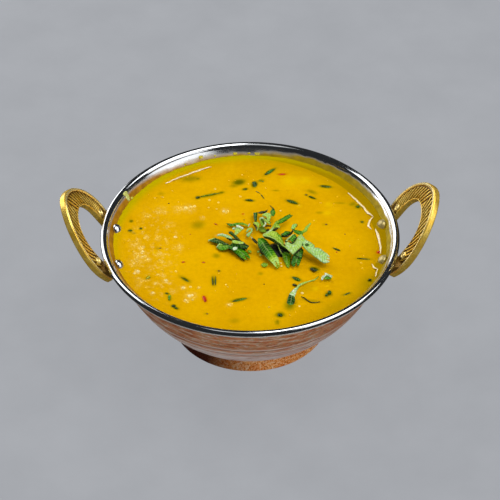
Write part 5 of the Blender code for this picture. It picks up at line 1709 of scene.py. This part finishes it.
# %% Floating herbs
# Both ends x and y, width in millimetres, and tones from one end to the other.
FLOATING = [
    (9.2, 52.3, 14.8, 57.4, 1.5, (0.16, 0.3, 0.14)), (4.2, 38.9, 6.6, 36.3, 0.9, (0.1, 0.06)),
    (6.6, 36.3, 8.2, 32.4, 0.7, (0.06, 0.2)), (3.1, 46.4, 3.9, 42.4, 2.4, (0.24, 0.12, 0.2)),
    (6, 47.8, 8.4, 46.6, 0.9, (0.4, 0.3)), (-2.3, 41, -0.7, 40.4, 1.1, (0.12, 0.16)),
    (-1.6, 31.6, 2.6, 31, 1.1, (0.2, 0.12)), (37.6, 42.2, 43.2, 40.9, 1.5, (0.16, 0.1, 0.26)),
    (19.8, 31.2, 25.2, 27.6, 1.5, (0.22, 0.12, 0.26)), (31.4, 33.6, 34.6, 31.7, 0.9, (0.18, 0.12)),
    (55.4, 24.6, 56.8, 25.4, 1.3, (0.22, 0.26)), (-27, 33.8, -25, 34.6, 1.2, (0.04, 0.12)),
    (-24.6, 34.8, -15, 37.6, 0.8, (0.3, 0.4, 0.28)), (-34.4, -27.8, -30.8, -31.2, 0.8, (0.14, 0.1, 0.3)),
    (-19.4, -27.4, -19, -34.2, 0.5, (0.18, 0.12)), (-17.6, -27.6, -17.8, -34, 0.5, (0.16, 0.12)),
    (-9.6, -46.2, -2.8, -43.9, 1.4, (0.05, 0.3, 0.34)), (-39, -48.4, -37.4, -49.2, 1.4, (0.06, 0.1)),
    (-37.6, -49.8, -36.2, -51, 0.9, (0.2, 0.14)), (-42.2, -39.3, -40.9, -39.9, 1, (0.08, 0.14)),
    (-40.2, -41, -40.3, -44.6, 1.4, (0.5, 0.42)), (-51.6, -28.6, -50.2, -26.4, 0.7, (0.74, 0.66)),
    (-50.8, -29, -49.8, -27.6, 0.7, (0.18, 0.22)), (41.3, -7.3, 44.8, -9.6, 0.9, (0.2, 0.14)),
    (52.8, -15.9, 59.2, -16.6, 0.6, (0.24, 0.16, 0.26)), (44.3, -43.2, 47.8, -41.2, 0.8, (0.22, 0.16)),
    (12.2, -55.6, 14, -57.4, 1.8, (0.06, 0.1)), (57.3, -32.6, 58.7, -32.8, 1.3, (0.02, 0.04)),
    (-60.8, 15.8, -59.2, 16.2, 1.1, (0.08, 0.1)), (-61.4, 8.5, -59.4, 8.6, 1.2, (0.08, 0.12)),
    (-55.6, 10, -54.4, 10.2, 1, (0.1, 0.12)), (56.5, 12.5, 57.9, 12.6, 1, (0.14, 0.16)),
    (19.2, -28.4, 23.6, -32, 1.6, (0.3, 0.16, 0.34)),
]
FLOAT_RIBS = 5
FLOAT_LIFT = 0.16
FLOAT_TONE = 0.13
EDGE_LIFT = 0.0011


def surface_z(x, y):
    """Height of the dal's surface at one place."""
    from_edge = DAL_RADIUS - math.hypot(x, y)
    height = dal_height(np.array([x]), np.array([y]), np.array([from_edge]), EDGE_LIFT)
    return DAL_LEVEL + float(height[0])


def floating_edges(x0, y0, x1, y1, width, order):
    """Two edges of a pointed strip, bent a little to one side, which rides just above the surface."""
    start, end = Vector((x0, y0)), Vector((x1, y1))
    side = (end - start).orthogonal().normalized()
    bend = 0.12 * width * math.sin(2.4 * order)
    edges = ([], [])
    for part in np.linspace(0, 1, FLOAT_RIBS):
        uneven = 1 + 0.35 * math.sin(7.0 * order + 5.0 * part)
        swell = math.sin(math.pi * (0.12 + 0.76 * part)) ** 0.7 * uneven
        middle = start.lerp(end, part) + side * bend * math.sin(math.pi * part)
        for edge, way in zip(edges, (1, -1)):
            place = middle + side * way * swell * width / 2
            sunk = FLOAT_LIFT * math.cos(2.1 * order + 2.2 * part)
            edge.append((place.x, place.y, surface_z(place.x * MM, place.y * MM) / MM + sunk))
    return edges


float_leaves = [(tuple(tone + FLOAT_TONE for tone in tones), 0.0, 0, *floating_edges(*ends, order))
                for order, (*ends, tones) in enumerate(FLOATING)]
dress(joined_leaves("coriander_floating", float_leaves), CORIANDER, "coriander")

# %% [markdown]
# Near the wall thin pale raised lines lie on the dal, one at the back left and a broken one down the
# right side, round both rivets. Each is a low pale ridge, a painted highlight where the dal's edge
# catches the light.

# %% Painted highlight lines on the dal
# Each line is a painted highlight: a pale ridge where the dal's edge catches the light.
# Points along each line in millimetres, and its width.
HIGHLIGHT_LINES = [
    (1, [(-42.8, 45.9), (-37.1, 49.9), (-30.9, 53.5), (-24.6, 57.2), (-18.8, 59.8)]),
    (1.05, [(51.7, 35.7), (55, 30.7), (58.7, 24.1), (60.9, 19.2), (63, 16.2)]),
    (0.9, [(63.2, 16), (61.2, 12.8), (60.3, 8.9), (61.7, 6.1)]),
    (1.2, [(63.6, 6.4), (64.5, 1.7), (64.8, -3), (65.1, -8.4), (64.6, -13)]),
    (1, [(59.9, -20.7), (60.8, -23.6), (62.2, -25)]), (0.8, [(62.3, -25.4), (61.5, -28.1), (60.7, -32)]),
]
HIGHLIGHT_LINE_RISE = 0.22


def line_edges(points, width):
    """Two edges of a ridge along a line of points, thin at both ends and a little uneven between."""
    places = [Vector(point) for point in points]
    edges = ([], [])
    for order, place in enumerate(places):
        before, after = places[max(0, order - 1)], places[min(len(places) - 1, order + 1)]
        side = (after - before).orthogonal().normalized()
        at_end = order in (0, len(places) - 1)
        half = width / 2 * (0.35 if at_end else 1.0 + 0.25 * math.sin(5.0 * order + place.x))
        for edge, way in zip(edges, (1, -1)):
            spot = place + side * way * half
            edge.append((spot.x, spot.y, surface_z(spot.x * MM, spot.y * MM) / MM + HIGHLIGHT_LINE_RISE))
    return edges


def highlight_line_finish():
    material, tree, shader = new_finish("dal_painted_highlight", roughness=0.18)
    pulp = noise_of(tree, 0.0009, detail=3.0)
    # Pale cream: the colour of the painted highlight.
    pale = ramp(tree, pulp, [(0.3, srgb(248, 218, 140)), (0.7, srgb(255, 246, 214))])
    connect(tree, shader, base_color=pale, normal=bump_of(tree, pulp, 0.00006, 0.4))
    return material


highlight_line_mesh = joined_leaves("dal_painted_highlight_lines", [((0.5, 0.5), 0.0, 0, *line_edges(points, width))
                                             for width, points in HIGHLIGHT_LINES])
dress(highlight_line_mesh, highlight_line_finish(), "dal")

# %% [markdown]
# ## Bubbles, froth and chilli
# Small round things that lie by the hundred are made by one Geometry Nodes tree. It puts a low ball on
# each point of a mesh and reads its size and turn from the points, so a list of places is all that a new
# kind of bit needs. Each ball has only a few dozen faces.

# %% Scattered bits tree
def scattered_tree():
    tree, given = new_tree("Scattered bits", Points="Geometry", Segments="Int", Rings="Int",
                           Material="Material")
    ball = add_node(tree, "GeometryNodeMeshUVSphere",
                    {"Segments": given["Segments"], "Rings": given["Rings"], "Radius": 1.0})
    size = add_node(tree, "GeometryNodeInputNamedAttribute", {"Name": "size"}, data_type="FLOAT_VECTOR")
    turn = add_node(tree, "GeometryNodeInputNamedAttribute", {"Name": "turn"}, data_type="FLOAT")
    spin = add_node(tree, "ShaderNodeCombineXYZ", {"Z": turn.outputs[0]})
    placed = add_node(tree, "GeometryNodeInstanceOnPoints", {
        "Points": given["Points"], "Instance": ball.outputs["Mesh"], "Rotation": spin.outputs[0],
        "Scale": size.outputs[0],
    })
    return end_tree(tree, given, placed.outputs[0])


BITS_TREE = scattered_tree()


def scattered_bits(name, slot, bits, material, segments, rings):
    """Bits are (x, y, z, half sizes along x, y and z, turn, tone), in metres and radians."""
    table = np.array(bits, np.float32)
    mesh = bpy.data.meshes.new(name)
    mesh.from_pydata([tuple(map(float, row)) for row in table[:, :3]], [], [])
    sizes = mesh.attributes.new("size", "FLOAT_VECTOR", "POINT")
    sizes.data.foreach_set("vector", table[:, 3:6].reshape(-1).copy())
    add_attribute(mesh, "turn", table[:, 6])
    add_attribute(mesh, "tone", table[:, 7])
    obj = add_piece(name, mesh)
    add_tree(obj, BITS_TREE, {"Segments": segments, "Rings": rings, "Material": material})
    print(name, "has", len(table), "bits")
    finish_piece(freeze(obj), slot)

# %% Small finishes
def small_finish(name, size, detail, sway, stops, rough, bump, gloss=0.5):
    """A finish for small bits: a run of colours read by their tone, which fine noise sways."""
    material, tree, shader = new_finish(name, roughness=rough[0])
    mottle = noise_of(tree, size, detail=detail)
    if rough[1] > rough[0]:
        connect(tree, shader, roughness=between(tree, mottle, 0.3, 0.7, *rough))
    connect(tree, shader, base_color=ramp(tree, swayed_tone(tree, mottle, sway), stops),
            normal=bump_of(tree, mottle, *bump))
    shader.inputs["Specular IOR Level"].default_value = gloss
    return material


# Thin dal over air: paler than the dal, and wet.
BUBBLE = small_finish("dal_bubbles", size=0.0006, detail=3.0, sway=0.3,
                      stops=[(0.0, srgb(226, 168, 2)), (0.35, srgb(244, 196, 24)),
                             (0.7, srgb(252, 218, 92)), (1.0, srgb(254, 232, 150))],
                      rough=(0.06, 0.14), bump=(0.0001, 0.2), gloss=0.25)

# %% Froth
FROTH_SEED = 21
FROTH_TRIES = 5200
FROTH_FROM = 0.30


def low_ball(x, y, radius, sunk, flat, tone):
    """A round bit in the dal's surface, in metres, sunk and flattened by shares of its radius."""
    return x, y, surface_z(x, y) - sunk * radius, radius, radius, flat * radius, 0.0, tone


def froth_bits():
    """Tiny bubbles, dropped at random and kept only where the froth is thick."""
    draw = np.random.default_rng(FROTH_SEED)
    x = draw.uniform(-0.063, 0.0, FROTH_TRIES)
    y = draw.uniform(-0.052, 0.042, FROTH_TRIES)
    radius = draw.uniform(0.00016, 0.00042, FROTH_TRIES) * (1 + draw.random(FROTH_TRIES) ** 6)
    inside = np.hypot(x, y) < DAL_RADIUS - 0.004
    thick = froth_cover(x, y)
    kept = inside & (thick > FROTH_FROM * draw.uniform(0.6, 1.6, FROTH_TRIES))
    bits = []
    for at_x, at_y, r, white in zip(x[kept], y[kept], radius[kept], thick[kept]):
        bits.append(low_ball(at_x, at_y, r, 0.15, 0.75, 0.35 + 0.6 * white))
    return bits


scattered_bits("dal_froth", "dal", froth_bits(), BUBBLE, segments=8, rings=5)

# %% Bubbles
# Larger bubbles: x, y and radius in millimetres, and how pale each is.
BUBBLES = [
    (-32.2, 26, 1.3, 0.8), (-29.6, 26.8, 1.1, 0.7), (-27.8, 27.2, 0.9, 0.8), (-15.5, 30, 0.7, 0.7),
    (-17, 41, 0.7, 0.6), (-20, 32, 0.7, 0.7), (-48, 34.5, 0.8, 0.3), (-44, 35.3, 0.8, 0.3),
    (-4, 34.5, 0.8, 0.5), (-12.8, 22.8, 0.9, 0.9), (-10.8, 22.6, 0.9, 0.6), (-11.6, 21.6, 0.6, 0.7),
    (-33.5, -35.5, 1, 0.9), (-30, -35, 0.8, 0.7), (-26, -35.5, 0.7, 0.6), (-30.6, -41.5, 1.1, 1),
    (-29.2, -41, 0.8, 0.9), (-32.5, -44.5, 0.8, 0.8), (-31.5, -46, 0.7, 0.7), (-29, -44.5, 0.7, 0.7),
    (-11.5, -48.5, 0.7, 0.8), (-9.9, -47.8, 0.5, 0.7), (-57, 15.5, 0.6, 0.3), (-53, 2.5, 0.8, 0.6),
    (-37.6, 3.1, 0.8, 1), (-53.8, -7.6, 0.7, 1), (-54.2, -9, 0.6, 0.9), (-58.3, -7.6, 0.6, 0.6),
    (-57.5, -9, 0.6, 0.6), (-56, -22.6, 0.9, 1), (-57.6, -24.2, 0.7, 0.9), (-48.4, -39, 0.8, 0.9),
    (-42, -30, 0.9, 0.9), (-37.2, -23.3, 0.7, 0.7), (15, -20.6, 0.6, 1), (16.2, 22.6, 0.6, 0.7),
    (-20.4, 26, 0.6, 0.5), (-16.4, 24.8, 0.6, 0.6), (24.4, -41, 0.8, 0.9), (22.6, -50.4, 0.6, 0.8),
    (17.8, -56.8, 0.6, 0.3), (54.5, -19.5, 0.7, 0.3), (55, -23.5, 0.6, 0.3), (37.4, -40, 0.6, 0.2),
    (8, -51, 0.7, 0.2), (-12.6, -33.8, 0.6, 0.6), (-11.8, -35.4, 0.5, 0.5), (5.6, -0.2, 0.5, 1),
    (5.8, -2.4, 0.4, 0.9), (14.9, -18.2, 0.4, 1), (-2.6, 52.6, 0.6, 0.4), (26, 26.4, 0.6, 0.3),
    (33, 14, 0.6, 0.3), (46, 33, 0.6, 0.3), (-39, 40, 0.6, 0.3), (-36, 31, 0.5, 0.4),
]
STRAY_SEED = 5
STRAYS = 130


def bubble_bits():
    bits = [low_ball(x * MM, y * MM, r * MM, 0.2, 0.8, pale) for x, y, r, pale in BUBBLES]
    draw = np.random.default_rng(STRAY_SEED)
    for _ in range(STRAYS):
        away, turn = DAL_RADIUS * 0.96 * math.sqrt(draw.random()), draw.uniform(0, 2 * math.pi)
        x, y, r = away * math.cos(turn), away * math.sin(turn), draw.uniform(0.00014, 0.00036)
        bits.append(low_ball(x, y, r, 0.2, 0.8, draw.uniform(0.0, 0.55)))
    return bits


scattered_bits("dal_bubbles", "dal", bubble_bits(), BUBBLE, segments=14, rings=8)

# %% [markdown]
# A tadka is whole spice fried in ghee and poured over at the end. Its red chilli leaves small flakes, and
# crushed seed leaves dark specks. They are the same low balls, drawn out and flattened.

# %% Chilli flakes and specks
# x, y, half length and half width in millimetres, turn in degrees, and tone from dark seed to red.
FLAKES = [
    (-23.2, -43.8, 2.4, 0.75, 105, 0.72), (-22.9, -45.4, 0.9, 0.6, 70, 0.6),
    (18.4, 52.5, 1.5, 0.5, 5, 0.75), (-33.5, -16.5, 0.7, 0.4, 20, 0.75), (64.2, -11.5, 0.7, 0.9, 60, 0.7),
    (-17, 12.6, 1, 0.3, -40, 0.55), (-23.5, -17, 0.6, 0.35, 10, 0.6), (-32, 25.4, 0.5, 0.4, 0, 0.55),
    (43, -10.6, 0.5, 0.35, 30, 0.8), (-29.6, 25.9, 0.5, 0.4, 0, 0.55), (20.6, -35, 0.9, 0.5, -30, 0.05),
    (-45, -5.5, 0.6, 0.4, 20, 0.2), (30, 35, 0.5, 0.45, 0, 0.1), (37.2, -39.4, 0.4, 0.3, 0, 0.9),
    (-2.6, 15.6, 0.4, 0.3, 0, 0.3), (-22, -54.8, 0.5, 0.35, 20, 0.25), (6, -34, 0.4, 0.3, 0, 0.3),
    (-41, 30, 0.45, 0.35, 0, 0.3), (-16, -23.5, 0.6, 0.4, 0, 0.2), (39, 11, 0.6, 0.4, 20, 0.35),
    (48, 3, 0.4, 0.3, 0, 0.4), (-30, 5, 0.4, 0.3, 0, 0.6),
]
flake_bits = [(x * MM, y * MM, surface_z(x * MM, y * MM), long_half * MM, short_half * MM, 0.25 * MM,
               math.radians(degrees), tone) for x, y, long_half, short_half, degrees, tone in FLAKES]
SPICE = small_finish("chilli_and_seed", size=0.0005, detail=4.0, sway=0.4,
                     stops=[(0.0, srgb(24, 16, 4)), (0.4, srgb(96, 40, 6)),
                            (0.7, srgb(188, 34, 8)), (1.0, srgb(222, 92, 20))],
                     rough=(0.25, 0.45), bump=(0.0002, 0.5), gloss=0.3)
scattered_bits("chilli_flakes", "spices", flake_bits, SPICE, segments=12, rings=7)

# %% [markdown]
# ## Splashes on the steel
# Serving leaves its marks: a drip or two of dal on the bare wall, and one smear that runs over the bead
# and down. Each follows the wall's own curve, so its points are asked from the same formula as the bowl.

# %% Wall splashes
SPLASH_THICKNESS = 0.00035
SPLASH_EDGE = 0.00003
SPLASH_ROOT = 0.00015
SPLASH_RIBS = 26
SPLASH_SIDES = 9
# The smear: angle in degrees and height in millimetres, from the bead down, and its widths in metres.
SMEAR = [(152.4, 58.1), (152.0, 57.3), (151.9, 56.2), (152.2, 55.0), (152.6, 53.6)]
SMEAR_WIDTHS = [0.0036, 0.0034, 0.0026, 0.0028, 0.0020]
# Angle round the bowl in degrees, height and half sizes in millimetres, and tone.
DRIPS = [
    (110.2, 55.05, 1.15, 0.85, 0), (95, 54.3, 1.1, 0.7, 0.1), (85.4, 54.1, 1.3, 0.7, 0.3),
    (89, 54.2, 0.8, 0.5, 0.2), (104, 54.4, 0.5, 0.4, 0.1), (118, 54, 0.6, 0.4, 0.1),
    (150.4, 53.8, 0.9, 0.6, 0.5),
]


def steel_profile():
    """The bowl's inner side from below the dal up over the lip, as points with their outward normals."""
    line = np.array(skin(LINER_INSIDE, 0.048, LEAN_OUT_FROM_Z, 8) + lean_out(30)[1:]
                    + round_arc(LIP, LIP_RADIUS, 155, 90, 16) + round_arc(BEAD, BEAD_RADIUS, 84, 20, 10))
    slope = np.gradient(line, axis=0)
    normal = np.stack([-slope[:, 1], slope[:, 0]], axis=1) / np.linalg.norm(slope, axis=1)[:, None]
    along = np.concatenate([[0], np.cumsum(np.linalg.norm(np.diff(line, axis=0), axis=1))])
    return line, normal, along


wall_line, wall_normal, wall_along = steel_profile()


def on_steel(angle, along, off):
    """A point off the steel's face, at a length along its profile and an angle in radians."""
    radius, z = [np.interp(along, wall_along, wall_line[:, k])
                 + off * np.interp(along, wall_along, wall_normal[:, k]) for k in range(2)]
    return radius * math.cos(angle), radius * math.sin(angle), z


def splash_shell(path, widths, thick, first, seed):
    """A closed low ridge along a path of (angle, length along the profile), as wide as widths say."""
    points = []
    for share in np.linspace(0, 1, SPLASH_RIBS):
        angle = np.interp(share, np.linspace(0, 1, len(path)), [p[0] for p in path])
        along = np.interp(share, np.linspace(0, 1, len(path)), [p[1] for p in path])
        width = np.interp(share, np.linspace(0, 1, len(widths)), widths)
        uneven = 1 + 0.25 * noise.noise(Vector((share * 7, seed, 0)))
        width *= math.sqrt(max(1e-4, 1 - abs(2 * share - 1) ** 6)) * uneven
        for side in np.linspace(-1, 1, SPLASH_SIDES):
            rise = thick * (1 - side * side) * (0.7 + 0.6 * noise.noise(Vector((share * 9, side, seed))))
            shift = side * width / 2 / wall_line[0, 0]
            points.append(on_steel(angle + shift, along, max(SPLASH_EDGE, rise)))
        points.append(on_steel(angle, along, -SPLASH_ROOT))
    return points, capped_tube(SPLASH_RIBS, SPLASH_SIDES + 1, first)


def splashes():
    """Every drip and the smear as one list of points, with their faces and tones."""
    runs, points, faces, tones = [], [], [], []
    for seed, (angle, height, half_wide, half_tall, tone) in enumerate(DRIPS):
        middle = float(np.interp(height * MM, wall_line[:34, 1], wall_along[:34]))
        turn = math.radians(angle)
        path = [(turn, middle + half_tall * MM), (turn, middle - half_tall * MM)]
        runs.append((path, [2 * half_wide * MM], SPLASH_THICKNESS, 1.3 * seed, tone))
    path = [(math.radians(angle), float(np.interp(height * MM, wall_line[:46, 1], wall_along[:46])))
            for angle, height in SMEAR]
    runs.append((path, SMEAR_WIDTHS, 1.6 * SPLASH_THICKNESS, 8.0, 0.9))
    for path, widths, thick, seed, tone in runs:
        shell, shell_faces = splash_shell(path, widths, thick, len(points), seed)
        points += shell
        faces += shell_faces
        tones += [tone] * len(shell)
    return points, faces, tones


SPLASH = small_finish("dal_splash", size=0.0007, detail=3.0, sway=0.5,
                      stops=[(0.0, srgb(214, 196, 20)), (0.5, srgb(206, 196, 70)),
                             (1.0, srgb(200, 208, 120))],
                      rough=(0.2, 0.2), bump=(0.0001, 0.4))
splash_points, splash_faces, splash_tones = splashes()
splash_mesh = mesh_from("dal_splashes", splash_points, splash_faces)
add_attribute(splash_mesh, "tone", splash_tones)
tidy_normals(splash_mesh)
dress(splash_mesh, SPLASH, "dal")
